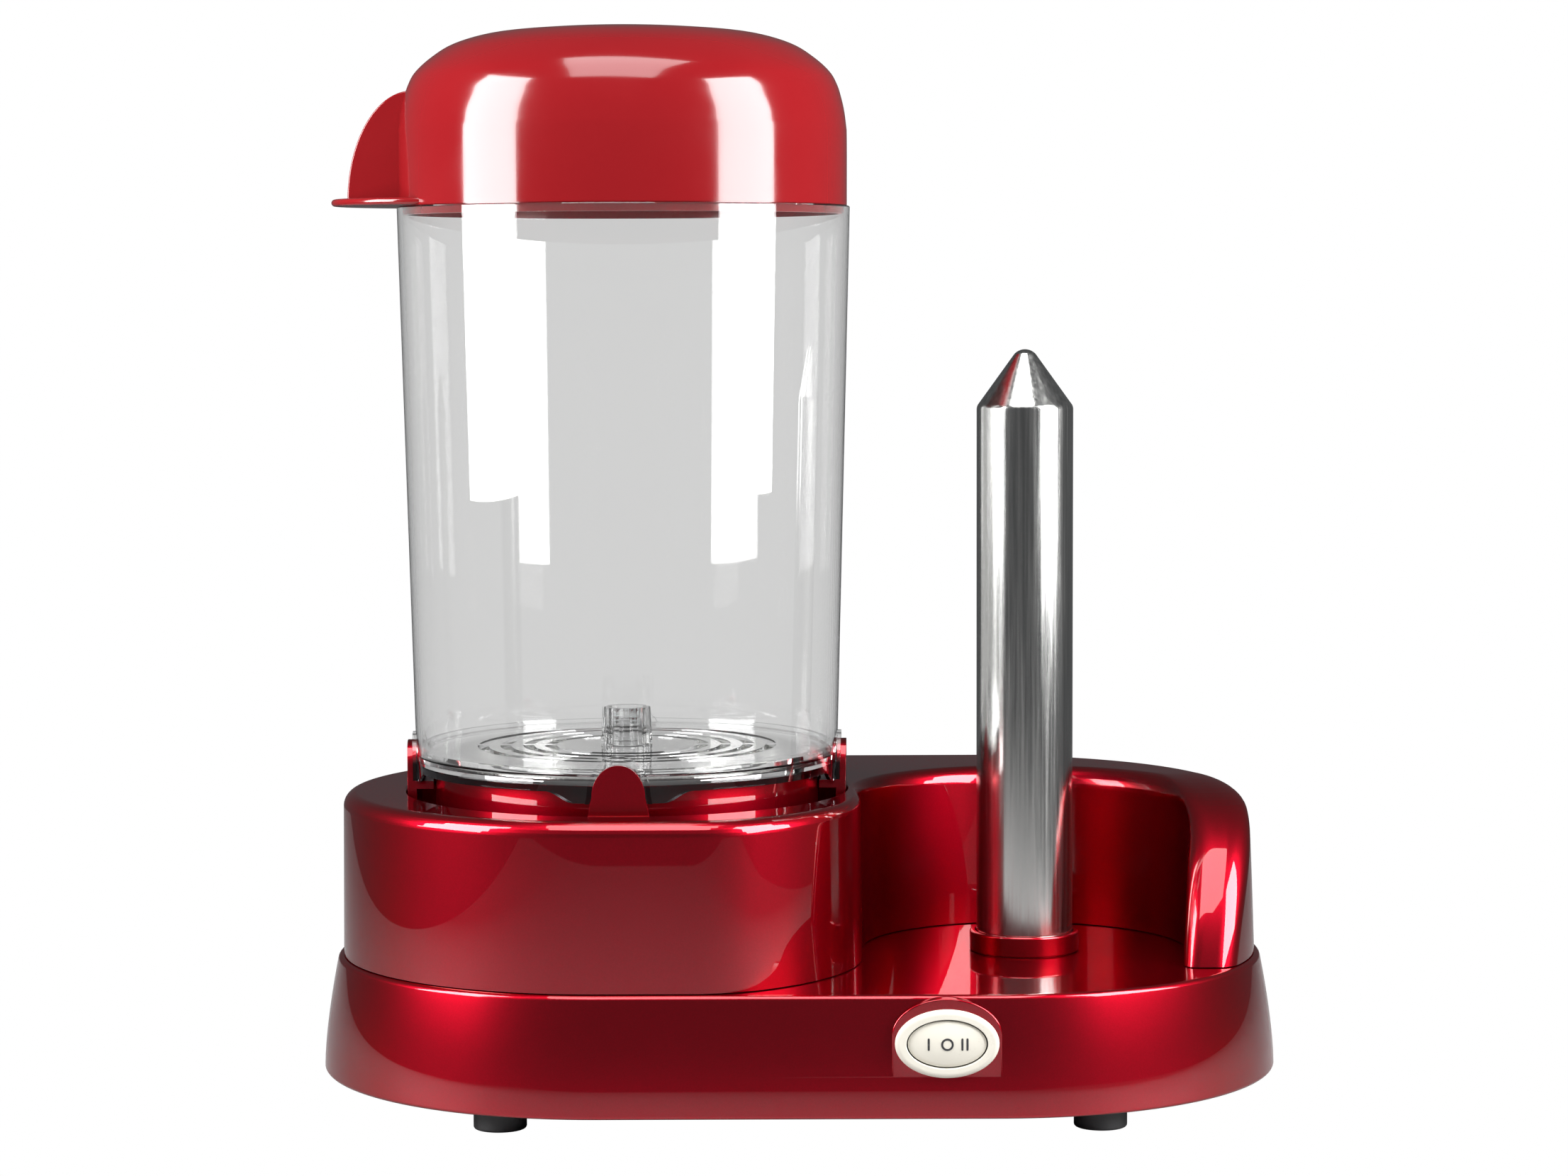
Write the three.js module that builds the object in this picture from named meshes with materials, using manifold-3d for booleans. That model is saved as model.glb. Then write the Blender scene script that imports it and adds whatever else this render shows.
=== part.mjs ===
// Table-top hot dog machine: a red moulded base with a drum and an alcove, a clear steaming
// container with a slotted tray and a domed lid, and a heated steel spike for the rolls.
// Millimetres, +Z up, the front faces -Y. The origin is the middle of the base on the table.
import * as THREE from "three";
import { mergeVertices } from "three/addons/utils/BufferGeometryUtils.js";
import Module from "manifold-3d";

const wasm = await Module();
wasm.setup();

// Common sizes
const clearance = 0.3;
const overrun = 2;
const wall = 2.5;
const screwBore = 1.4;
const bossRadius = 3.6;
const fullTurn = 2 * Math.PI;
const quarterTurn = Math.PI / 2;

// Plan: the well for the container, the alcove for a roll, and what is round them
const wellRadius = 69.5;
const alcoveRadius = 51;
const drumEnd = 20.2;
const drumRim = 14.2;
const web = 4.5;
const armEnd = 21.7;
const housingInset = 6.3;
const housingLength = drumEnd + 2 * wellRadius + web + 2 * alcoveRadius + armEnd;
const housingRadius = wellRadius + drumRim;
const baseRadius = housingRadius + housingInset;
const endX = housingLength / 2 - housingRadius;
const drumX = -housingLength / 2 + drumEnd + wellRadius;
const alcoveX = housingLength / 2 - armEnd - alcoveRadius;
const alcoveY = -6.5;

// Plinth: the lower moulding, two half circles joined by straight sides
const footHeight = 6.4;
const plinthHeight = 36.2;
const skirtLean = 4.8;
const skirtBend = 1.5;
const lowerEdge = 1.2;
const deckEdge = 1.4;
const deckLevel = footHeight + plinthHeight;
const deckUnderside = deckLevel - wall;

// Base plate and feet
const plateThickness = 2.5;
const plateRecess = 1;
const footRadius = 8;
const footTaper = 0.8;
const footInsetX = 60;
const footInsetY = 20.5;
const footSpigotRadius = 3;
const footSpigotLength = 4;
const bossInsetX = 38;
const bossInsetY = 50;
const footSpreadX = endX + baseRadius - footInsetX;
const footSpreadY = baseRadius - footInsetY;
const plateBossX = endX + baseRadius - bossInsetX;
const plateBossY = baseRadius - bossInsetY;
const plateBottom = footHeight + plateRecess;
const plateTop = plateBottom + plateThickness;
const ventCount = 7;
const ventPitch = 9;
const ventWidth = 3;
const ventLength = 34;

// Housing: the upper moulding, a drum on the left and an arm round the alcove
const housingHeight = 51;
const housingDraft = 0.5;
const outerEdge = 4.5;
const shoulderRadius = 40;
const flankStep = 0.9;
const flankRiseShare = 0.835664;
const alcoveDraft = 1.2;
const alcoveSideEdge = 2.5;
const alcoveRearEdge = 6;
const armReach = 35.5;
const armLean = 0.127;
const armCurve = 27;
const armInnerCorner = 4.6;
const armOuterCorner = 8;
const armEdge = 1.8;
const armSeatInset = 8.5;
const armSeatDepth = 22;
const flankRadius = wellRadius - flankStep;
const flankReach = flankRadius - shoulderRadius;
const shoulderY = -housingRadius + shoulderRadius;
const flankY = shoulderY + flankReach * flankRiseShare;
const armFront = alcoveY - armReach;
const armSeatX = alcoveX + alcoveRadius + armSeatInset;
const armSeatY = armFront + armSeatDepth;
const housingBottom = deckLevel + clearance;
const housingTop = housingBottom + housingHeight;
const housingSeats = [
  [-plateBossX, -plateBossY],
  [-plateBossX, plateBossY],
  [plateBossX, plateBossY],
  [armSeatX, armSeatY],
];

// Well in the drum's top, with the upstand that carries the water pan
const wellDepth = 16;
const wellEdge = 1;
const gutterWidth = 9;
const upstandHeight = 24.6;
const upstandOuter = wellRadius - gutterWidth;
const gutterLevel = housingTop - wellDepth;
const gutterUnderside = gutterLevel - wall;
const upstandTop = gutterLevel + upstandHeight;
const upstandInner = upstandOuter - wall;

// Clips round the well
const clipCount = 4;
const clipThickness = 2.8;
const clipWidth = 18.3;
const clipNeckWidth = 16;
const clipRise = 15.2;
const clipNeckRise = 5.6;
const clipBarThickness = 2.4;
const clipBarRise = 3;
const clipOuter = wellRadius - clearance;
const clipInner = clipOuter - clipThickness;
const clipBarInner = upstandOuter + 2 * clearance;
const clipTop = housingTop + clipRise;

// Container: a clear tapered tube, open at both ends, on the bars of the clips
const containerHeight = 179;
const containerFlare = 4.5;
const containerWall = 1.6;
const containerFootRadius = clipInner - clearance;
const containerRimRadius = containerFootRadius + containerFlare;
const skirtTabWidth = 27.2;
const skirtTabSlope = 9;
const skirtTabDrop = 3.4;
const ledgeRise = 6.6;
const ledgeThickness = 1.4;
const ledgeReach = 2.6;
const lugGap = 0.4;
const lugWidth = 1.2;
const lugDepth = 1.5;
const lugTopGap = 2.6;
const containerBottom = housingTop + clipBarRise + clearance;
const containerTop = containerBottom + containerHeight;
const ledgeTop = containerBottom + ledgeRise + ledgeThickness;

// Steam tray: a slotted clear disc with a fluted hub
const trayThickness = 1.9;
const trayRimHeight = 1.2;
const trayRimWidth = 1.6;
const slotMargin = 16;
const slotFacet = 3;
const slotFirstRadius = 24;
const slotPitch = 7.1;
const slotWidth = 3.5;
const bridgeWidth = 4;
const hubTopRadius = 7;
const hubFootRadius = 8;
const hubHeight = 12;
const hubBore = 5.2;
const hubFluteCount = 10;
const hubFluteDepth = 0.5;
const trayBottom = ledgeTop + clearance;
const trayTop = trayBottom + trayThickness;

// Lid: a hollow dome with a plug lip, a thumb plate and an upright fin
const lidHeight = 55.4;
const lidStep = 0.9;
const lidWall = 2;
const lipDepth = 5;
const lipWall = 1.6;
const thumbRadius = 34.5;
const thumbReach = 21.4;
const thumbThickness = 2.2;
const finThickness = 2.5;
const finReach = 16.5;
const finHeight = 36;
const finRoot = 4;
const lidBottom = containerTop + clearance;
const lidRadius = containerRimRadius - lidStep;

// Water pan and what heats it
const panSheet = 0.8;
const panRimStep = 0.9;
const panSealThickness = 0.6;
const panPlay = 2.4;
const panFoot = 6.6;
const panDepth = 16;
const panCorner = 5;
const heaterPlateStep = 3;
const heaterPlateThickness = 2.4;
const heaterRingInset = 10;
const heaterTubeRadius = 3.6;
const strapWidth = 26;
const strapThickness = 1.5;
const strapHoleRadius = 9;
const strapBossStep = 2;
const thermostatRadius = 7.5;
const thermostatHeight = 9;
const thermostatBladeShare = 0.6;
const fuseRadius = 2;
const fuseLength = 18;
const fusePlaceShare = 5 / 9;
const wiringOpening = 40;
const panRimRadius = upstandOuter - panRimStep;
const panBowlRadius = upstandInner - panPlay;
const panFloorRadius = panBowlRadius - panFoot;
const heaterPlateRadius = panFloorRadius - heaterPlateStep;
const heaterRingRadius = heaterPlateRadius - heaterRingInset;
const strapBossX = upstandOuter + strapBossStep;
const fuseY = heaterRingRadius * fusePlaceShare;
const panRimBottom = upstandTop + 2 * clearance + panSealThickness;
const panBottom = panRimBottom - panDepth;

// Spike and its collar, heater and bracket
const spikeX = alcoveX;
const spikeY = alcoveY;
const spikeRadius = 15.05;
const spikeWall = 1;
const spikeHeight = 188.9;
const spikeConeHeight = 17.2;
const spikeTipRadius = 4.5;
const spikeFlangeWidth = 4;
const spikeFlangeThickness = 1.2;
const collarRadius = 17.2;
const collarHeight = 6.2;
const collarEdge = 0.8;
const collarSpigot = 1.2;
const spikeHeaterRadius = 8;
const spikeHeaterLength = 150;
const spikeHeaterBase = 12;
const spikeHeaterBaseHeight = 6;
const bracketLength = 64;
const bracketWidth = 30;
const bracketThickness = 2;
const bracketWireRadius = 3;
const bracketBossSpread = 26;
const spikeTip = deckLevel + spikeHeight;
const spikeShoulder = spikeTip - spikeConeHeight;
const spikeFlangeTop = deckUnderside - clearance;
const bracketTop = spikeFlangeTop - spikeFlangeThickness - clearance;

// Switch on the front and cord gland at the rear
const switchInset = 16.8;
const switchDrop = 13.6;
const padWidth = 32.5;
const padBottomDrop = 14;
const padArchRise = 13.2;
const padArchHeight = 11;
const padStep = 0.9;
const padEdge = 0.5;
const bezelWidth = 30.8;
const bezelHeight = 20.4;
const bezelThickness = 1.6;
const bezelEdge = 0.7;
const rockerWidth = 23.2;
const rockerHeight = 13.7;
const rockerGap = 0.4;
const rockerDome = 0.9;
const rockerShoulderShare = 0.75;
const rockerShoulderRiseShare = 0.6;
const rockerCrownShare = 0.4;
const rockerDepth = 4.6;
const rockerTaper = 2;
const rockerDrop = 0.6;
const switchBodyDepth = 17;
const switchSocketDepth = 8;
const switchBodyWall = 0.8;
const pinRadius = 0.8;
const pinDepth = 1.6;
const bladeWidth = 4.8;
const bladeThickness = 0.8;
const bladeLength = 8;
const bladePitch = 8;
const glandFlangeRadius = 8;
const glandFlangeThickness = 2;
const glandSleeveRadius = 5.6;
const glandSleeveLength = 14;
const glandBore = 3.4;
const glandPadRadius = 10;
const glandX = 0;
const glandDrop = 15.6;
const switchX = endX - switchInset;
const switchHeight = deckLevel - switchDrop;
const glandHeight = deckLevel - glandDrop;
const padFront = baseRadius - padStep;
const blockLength = 32;
const blockWidth = 16;
const blockHeight = 13;
const blockBoreRadius = 2;
const blockBoreCount = 3;
const blockX = 0;
const blockInset = 38;
const blockY = baseRadius - blockInset;

// Looks
const candyRed = { color: 0x7d0a16, roughness: 0.18, metalness: 0.45 };
const lidRed = { color: 0xb3151f, roughness: 0.15, metalness: 0 };
const clearPlastic = { color: 0xe6e8e8, roughness: 0.05, metalness: 0, opacity: 0.35 };
const polishedSteel = { color: 0xc9c9c7, roughness: 0.2, metalness: 1 };
const zincSteel = { color: 0x9a9c9e, roughness: 0.45, metalness: 0.9 };
const aluminium = { color: 0xb4b6b8, roughness: 0.5, metalness: 0.9 };
const ivory = { color: 0xefece2, roughness: 0.35, metalness: 0 };
const blackPlastic = { color: 0x1c1c1e, roughness: 0.55, metalness: 0 };
const greyRubber = { color: 0x3a3a3c, roughness: 0.85, metalness: 0 };
const ceramic = { color: 0xdad6cc, roughness: 0.7, metalness: 0 };

// A three.js material from one of the looks above
function material(look) {
  const seeThrough = look.opacity !== undefined;
  return new THREE.MeshStandardMaterial({ ...look, transparent: seeThrough });
}

// A closed geometry as a solid that can be joined and cut
function solid(geometry) {
  const bare = geometry.clone();
  bare.deleteAttribute("normal");
  bare.deleteAttribute("uv");
  const merged = mergeVertices(bare, 1e-5);
  const made = new wasm.Manifold(
    new wasm.Mesh({
      numProp: 3,
      vertProperties: merged.attributes.position.array,
      triVerts: new Uint32Array(merged.index.array),
    }),
  );
  return made;
}

// The geometry of a solid, for a mesh
function geometryOf(made) {
  const mesh = made.getMesh();
  const geometry = new THREE.BufferGeometry();
  const positions = new THREE.BufferAttribute(new Float32Array(mesh.vertProperties), 3);
  geometry.setAttribute("position", positions);
  geometry.setIndex(new THREE.BufferAttribute(new Uint32Array(mesh.triVerts), 1));
  geometry.computeVertexNormals();
  return geometry;
}

// A named mesh of a solid
function piece(name, made, look) {
  const mesh = new THREE.Mesh(geometryOf(made), material(look));
  mesh.name = name;
  return mesh;
}

function joined(first, ...others) {
  return others.reduce((sum, other) => sum.add(other), first);
}

function cut(first, ...others) {
  return others.reduce((rest, other) => rest.subtract(other), first);
}

// Twice the signed area of an outline: positive when it runs counter-clockwise
function turning(points) {
  return points.reduce((sum, p, i) => {
    const q = points[(i + 1) % points.length];
    return sum + p.x * q.y - q.x * p.y;
  }, 0);
}

// Points on an ellipse, from one angle to another, both ends included
function ellipseArc(x, y, a, b, from, to, steps) {
  return Array.from({ length: steps + 1 }, (_, i) => {
    const angle = from + ((to - from) * i) / steps;
    return new THREE.Vector2(x + a * Math.cos(angle), y + b * Math.sin(angle));
  });
}

function arc(x, y, radius, from, to, steps) {
  return ellipseArc(x, y, radius, radius, from, to, steps);
}

function ellipse(a, b, steps) {
  return ellipseArc(0, 0, a, b, 0, fullTurn, steps).slice(0, -1);
}

// An outline moved inwards along its normals, by one distance or by one for each point
function inset(outline, distances) {
  return outline.map((p, i) => {
    const before = outline[(i + outline.length - 1) % outline.length];
    const after = outline[(i + 1) % outline.length];
    const first = p.clone().sub(before).normalize();
    const second = after.clone().sub(p).normalize();
    const distance = typeof distances === "number" ? distances : distances[i];
    const inward = new THREE.Vector2(-first.y - second.y, first.x + second.x);
    const stretch = 2 / inward.lengthSq();
    return p.clone().addScaledVector(inward, distance * stretch);
  });
}

// A closed solid through outlines of equal length, each at its own height
function loft(levels) {
  const count = levels[0].outline.length;
  const positions = [];
  levels.forEach((level) => level.outline.forEach((p) => positions.push(p.x, p.y, level.z)));
  const faces = [];
  for (let k = 0; k + 1 < levels.length; k += 1) {
    for (let i = 0; i < count; i += 1) {
      const a = k * count + i;
      const b = k * count + ((i + 1) % count);
      faces.push(a, b, b + count, a, b + count, a + count);
    }
  }
  const lowest = THREE.ShapeUtils.triangulateShape(levels[0].outline, []);
  lowest.forEach(([a, b, c]) => faces.push(c, b, a));
  const last = levels.length - 1;
  const highest = THREE.ShapeUtils.triangulateShape(levels[last].outline, []);
  highest.forEach(([a, b, c]) => faces.push(a + last * count, b + last * count, c + last * count));
  const geometry = new THREE.BufferGeometry();
  geometry.setAttribute("position", new THREE.Float32BufferAttribute(positions, 3));
  geometry.setIndex(faces);
  return solid(geometry);
}

// A prism of an outline between two heights
function prism(outline, from, to) {
  return loft([
    { outline, z: from },
    { outline, z: to },
  ]);
}

function cylinder(x, y, radius, from, to, steps = 32) {
  return prism(arc(x, y, radius, 0, fullTurn, steps).slice(0, -1), from, to);
}

function box(x0, x1, y0, y1, z0, z1) {
  const corners = [
    new THREE.Vector2(x0, y0),
    new THREE.Vector2(x1, y0),
    new THREE.Vector2(x1, y1),
    new THREE.Vector2(x0, y1),
  ];
  return prism(corners, z0, z1);
}

// A solid of revolution about the vertical axis through the origin, from [radius, height] pairs
function turned(profile, steps) {
  const points = profile.map(([radius, height]) => new THREE.Vector2(radius, height));
  if (turning(points) < 0) points.reverse();
  const first = points.findIndex((p, i) => {
    return p.x === 0 && points[(i + points.length - 1) % points.length].x === 0;
  });
  const run = [...points.slice(Math.max(first, 0)), ...points.slice(0, Math.max(first, 0))];
  if (first < 0) run.push(points[0].clone());
  return solid(new THREE.LatheGeometry(run, steps).rotateX(quarterTurn));
}

// A prism drawn upright: its outline's y is the height and it runs from one y to another
function upright(outline, from, to) {
  return prism(outline, -to, -from).rotate([90, 0, 0]);
}

// The two half circles joined by straight sides
function stadium(radius, steps = 14) {
  return [
    ...arc(endX, 0, radius, -quarterTurn, quarterTurn, steps),
    ...arc(-endX, 0, radius, quarterTurn, 3 * quarterTurn, steps),
  ];
}

// How far a rounded upper edge has drawn in at a height
function edgeInset(radius, top, z) {
  const climbed = Math.min(Math.max(z - (top - radius), 0), radius);
  return radius - Math.sqrt(radius * radius - climbed * climbed);
}

// Heights that follow a quarter round up to its top
function roundHeights(radius, top, steps) {
  return Array.from({ length: steps }, (_, i) => {
    return top - radius * (1 - Math.sin((quarterTurn * i) / steps));
  });
}

// The skirt's radius at a height
function skirtRadius(z) {
  const start = footHeight + lowerEdge;
  const share = Math.max(z - start, 0) / (deckLevel - start);
  return baseRadius - skirtLean * share ** skirtBend - edgeInset(deckEdge, deckLevel, z);
}

// The flat pad that carries the switch, an arch that fades into the leaning skirt
function switchPad() {
  const half = padWidth / 2;
  const spring = switchHeight + padArchRise - padArchHeight;
  const bottom = switchHeight - padBottomDrop;
  const outline = [
    new THREE.Vector2(switchX - half, bottom),
    new THREE.Vector2(switchX + half, bottom),
    ...ellipseArc(switchX, spring, half, padArchHeight, 0, Math.PI, 20),
  ];
  const back = padFront - 2 * wall;
  const chamfered = loft([
    { outline, z: back },
    { outline, z: padFront - padEdge },
    { outline: inset(outline, padEdge), z: padFront },
  ]);
  return chamfered.rotate([90, 0, 0]);
}

function plinth() {
  const start = footHeight + lowerEdge;
  const skirtSteps = 3;
  const heights = Array.from({ length: skirtSteps + 1 }, (_, i) => {
    return start + ((deckLevel - deckEdge - start) * i) / skirtSteps;
  });
  const rounded = roundHeights(deckEdge, deckLevel, 3).slice(1);
  const outside = loft([
    { outline: stadium(baseRadius - lowerEdge), z: footHeight },
    ...[...heights, ...rounded, deckLevel].map((z) => ({ outline: stadium(skirtRadius(z)), z })),
  ]);
  const hollow = loft([
    { outline: stadium(baseRadius - lowerEdge - wall), z: footHeight - overrun },
    { outline: stadium(baseRadius - lowerEdge - wall), z: start },
    { outline: stadium(skirtRadius(deckUnderside) - wall), z: deckUnderside },
  ]);
  const glandPad = upright(
    arc(glandX, glandHeight, glandPadRadius, 0, fullTurn, 32).slice(0, -1),
    padFront - 2 * wall,
    padFront,
  );
  const bosses = [-1, 1].flatMap((sx) =>
    [-1, 1].map((sy) =>
      cylinder(
        sx * plateBossX,
        sy * plateBossY,
        bossRadius,
        plateTop + clearance,
        deckLevel - wall / 2,
        16,
      ),
    ),
  );
  const bracketBosses = [-1, 1].map((sx) =>
    cylinder(
      spikeX + sx * bracketBossSpread,
      spikeY,
      bossRadius,
      bracketTop + clearance,
      deckLevel - wall / 2,
      16,
    ),
  );
  const shell = joined(
    cut(outside, hollow),
    switchPad(),
    glandPad,
    ...bosses,
    ...bracketBosses,
  );
  const socket = upright(
    ellipseArc(
      switchX,
      switchHeight,
      bezelWidth / 2 - wall + clearance,
      bezelHeight / 2 - wall + clearance,
      0,
      fullTurn,
      40,
    ).slice(0, -1),
    -baseRadius - overrun,
    -padFront + 3 * wall,
  );
  const glandHole = upright(
    arc(glandX, glandHeight, glandSleeveRadius + clearance, 0, fullTurn, 24).slice(0, -1),
    padFront - 3 * wall,
    baseRadius + overrun,
  );
  const wiring = cylinder(drumX, 0, wiringOpening, deckUnderside - overrun, deckLevel + overrun, 40);
  const spikeHole = cylinder(
    spikeX,
    spikeY,
    spikeRadius + collarSpigot + 2 * clearance,
    deckUnderside - overrun,
    deckLevel + overrun,
    40,
  );
  const screwHoles = [
    ...[-1, 1].flatMap((sx) => [-1, 1].map((sy) => [sx * plateBossX, sy * plateBossY])),
    ...[-1, 1].map((sx) => [spikeX + sx * bracketBossSpread, spikeY]),
  ].map(([x, y]) => cylinder(x, y, screwBore, footHeight, deckUnderside, 8));
  return piece("plinth", cut(shell, socket, glandHole, wiring, spikeHole, ...screwHoles), candyRed);
}

function basePlate() {
  const radius = baseRadius - lowerEdge - wall - clearance;
  const vents = Array.from({ length: ventCount }, (_, i) => {
    const x = drumX + (i - (ventCount - 1) / 2) * ventPitch;
    return box(
      x - ventWidth / 2,
      x + ventWidth / 2,
      -ventLength / 2,
      ventLength / 2,
      plateBottom - overrun,
      plateTop + overrun,
    );
  });
  const screwHoles = [-1, 1].flatMap((sx) =>
    [-1, 1].map((sy) =>
      cylinder(
        sx * plateBossX,
        sy * plateBossY,
        screwBore + clearance,
        plateBottom - overrun,
        plateTop + overrun,
        12,
      ),
    ),
  );
  const footHoles = footPlaces().map(([x, y]) =>
    cylinder(x, y, footSpigotRadius + clearance, plateBottom - overrun, plateTop + overrun, 16),
  );
  const plate = prism(stadium(radius), plateBottom, plateTop);
  return piece("base_plate", cut(plate, ...vents, ...screwHoles, ...footHoles), blackPlastic);
}

function footPlaces() {
  return [-1, 1].flatMap((sy) => [-1, 1].map((sx) => [sx * footSpreadX, sy * footSpreadY]));
}

// Rubber feet, each pushed into the base plate by its spigot
function feet() {
  const names = ["foot_front_left", "foot_front_right", "foot_rear_left", "foot_rear_right"];
  const top = plateBottom - clearance;
  const profile = [
    [0, 0],
    [footRadius - footTaper, 0],
    [footRadius, footTaper],
    [footRadius, top],
    [footSpigotRadius, top],
    [footSpigotRadius, top + footSpigotLength],
    [0, top + footSpigotLength],
  ];
  return footPlaces().map(([x, y], i) =>
    piece(names[i], turned(profile, 16).translate([x, y, 0]), greyRubber),
  );
}

// The plan of the housing at its foot, with the arm's front face at the given y. Each point
// carries the radius of the upper edge above it.
function housingPlan(frontY) {
  const runs = [];
  const add = (points, edges) =>
    points.forEach((p, i) => {
      const edge = typeof edges === "function" ? edges(i / (points.length - 1)) : edges;
      const last = runs[runs.length - 1];
      if (last && last.point.distanceTo(p) < clearance / 10) return;
      runs.push({ point: p, edge });
    });

  const flankX = alcoveX - alcoveRadius - clearance - flankRadius;
  const shoulderX = flankX + Math.sqrt(flankReach ** 2 - (shoulderY - flankY) ** 2);
  const meet = Math.atan2(shoulderY - flankY, shoulderX - flankX);
  add(arc(shoulderX, shoulderY, shoulderRadius, -quarterTurn, meet, 4), outerEdge);
  add(arc(flankX, flankY, flankRadius, meet, 0, 6), (t) => {
    return outerEdge + (alcoveSideEdge - outerEdge) * t;
  });

  const swell = (t) => alcoveSideEdge + (alcoveRearEdge - alcoveSideEdge) * Math.sin(Math.PI * t);
  add(arc(alcoveX, alcoveY, alcoveRadius, Math.PI, 0, 18), swell);

  const innerX = alcoveX + alcoveRadius;
  const slope = Math.hypot(1, armLean);
  const innerY = frontY + armInnerCorner;
  const innerCornerX = innerX + armLean * (innerY - alcoveY) + armInnerCorner * slope;
  const wallAngle = Math.PI - Math.atan(armLean);
  add(arc(innerCornerX, innerY, armInnerCorner, wallAngle, 3 * quarterTurn, 3), armEdge);

  const outerY = frontY + armOuterCorner;
  const outerCornerX = endX + Math.sqrt((housingRadius - armOuterCorner) ** 2 - outerY ** 2);
  const leave = Math.atan2(outerY, outerCornerX - endX);
  add(arc(outerCornerX, outerY, armOuterCorner, -quarterTurn, leave, 4), (t) => {
    return armEdge + (outerEdge - armEdge) * t;
  });

  add(arc(endX, 0, housingRadius, leave, quarterTurn, 12), outerEdge);
  add(arc(-endX, 0, housingRadius, quarterTurn, 3 * quarterTurn, 18), outerEdge);
  return runs;
}

// The arm ends in a large quarter round, so its front face moves back near the top
function armFrontAt(z) {
  return armFront + edgeInset(armCurve, housingTop, z);
}

// The outline of the housing's outer or inner surface at a height
function housingOutline(z, thickness) {
  const plan = housingPlan(armFrontAt(z));
  const share = (z - housingBottom) / housingHeight;
  const top = housingTop - thickness;
  const distances = plan.map(({ point, edge }) => {
    const nearAlcove = point.distanceTo(new THREE.Vector2(alcoveX, alcoveY));
    const draft = nearAlcove < alcoveRadius + clearance ? alcoveDraft : housingDraft;
    return thickness + draft * share + edgeInset(Math.max(edge - thickness / 2, clearance), top, z);
  });
  return inset(
    plan.map(({ point }) => point),
    distances,
  );
}

function housingSurface(heights, thickness) {
  return loft(heights.map((z) => ({ outline: housingOutline(z, thickness), z })));
}

// The ring wall, gutter floor and upstand of the well
function well() {
  const outer = wellRadius + wall;
  const profile = [
    [outer, gutterUnderside],
    [outer, housingTop - wall / 2],
    [wellRadius, housingTop - wall / 2],
    [wellRadius, gutterLevel],
    [upstandOuter, gutterLevel],
    [upstandOuter, upstandTop - wellEdge],
    [upstandOuter - wellEdge, upstandTop],
    [upstandInner, upstandTop],
    [upstandInner, gutterUnderside],
  ];
  return turned(profile, 44).translate([drumX, 0, 0]);
}

function housing() {
  const arm = roundHeights(armCurve, housingTop, 6);
  const edge = roundHeights(outerEdge, housingTop, 3);
  const heights = [housingBottom, ...arm.slice(0, 4), ...edge, arm[5], housingTop];
  const outside = housingSurface(
    heights.sort((a, b) => a - b),
    0,
  );
  const ceiling = housingTop - wall;
  const inside = housingSurface(
    [housingBottom - overrun, arm[0], arm[2], ceiling - outerEdge, ceiling - clearance, ceiling],
    wall,
  );
  const posts = [-1, 1].map((s) =>
    cylinder(
      drumX + s * strapBossX,
      0,
      bossRadius,
      gutterUnderside - bossRadius,
      gutterLevel - wall / 2,
      16,
    ),
  );
  const mouth = turned(
    [
      [0, gutterUnderside - overrun],
      [upstandInner, gutterUnderside - overrun],
      [upstandInner, gutterLevel],
      [wellRadius, gutterLevel],
      [wellRadius, housingTop - wellEdge],
      [wellRadius + wellEdge, housingTop + clearance],
      [wellRadius + wellEdge, housingTop + overrun],
      [0, housingTop + overrun],
    ],
    44,
  ).translate([drumX, 0, 0]);
  const open = cut(outside, inside, mouth);
  const seats = housingSeats.map(([x, y]) =>
    cylinder(x, y, bossRadius, housingBottom, housingTop - wall / 2, 16).intersect(outside),
  );
  const made = joined(open, well(), ...posts, ...seats);
  const screwHoles = [-1, 1].map((s) =>
    cylinder(
      drumX + s * strapBossX,
      0,
      screwBore,
      gutterUnderside - bossRadius - overrun,
      gutterUnderside,
      8,
    ),
  );
  return piece("housing", cut(made, ...screwHoles), candyRed);
}

// The arch outline of a clip, drawn upright, or that of a larger arch round it
function archOutline(grow, top) {
  const half = clipWidth / 2 + grow;
  const neck = clipNeckWidth / 2 + grow;
  const spring = housingTop + clipNeckRise;
  return [
    new THREE.Vector2(-half, gutterLevel - overrun),
    new THREE.Vector2(half, gutterLevel - overrun),
    new THREE.Vector2(half, housingTop),
    ...ellipseArc(0, spring, neck, top - spring, 0, Math.PI, 16),
    new THREE.Vector2(-half, housingTop),
  ];
}

function clipNames() {
  return ["clip_front", "clip_right", "clip_rear", "clip_left"];
}

// Clips: an upright arch, a foot in the gutter and a bar under the container's edge
function clips() {
  const section = [
    [clipOuter, gutterLevel + clearance],
    [clipOuter, clipTop + overrun],
    [clipInner, clipTop + overrun],
    [clipInner, housingTop + clipBarRise],
    [clipBarInner, housingTop + clipBarRise],
    [clipBarInner, housingTop + clipBarRise - clipBarThickness],
    [clipInner, housingTop + clipBarRise - clipBarThickness],
    [clipInner, gutterLevel + clearance + wall],
    [clipBarInner, gutterLevel + clearance + wall],
    [clipBarInner, gutterLevel + clearance],
  ];
  const arch = upright(archOutline(0, clipTop), -clipOuter - overrun, -clipBarInner / 2);
  const clip = turned(section, 64).intersect(arch);
  return clipNames().map((name, i) =>
    piece(name, clip.rotate([0, 0, (360 * i) / clipCount]).translate([drumX, 0, 0]), candyRed),
  );
}

// The container's outer radius at a height
function containerRadius(z) {
  const share = (z - containerBottom) / containerHeight;
  return containerFootRadius + (containerRimRadius - containerFootRadius) * share;
}

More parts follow.
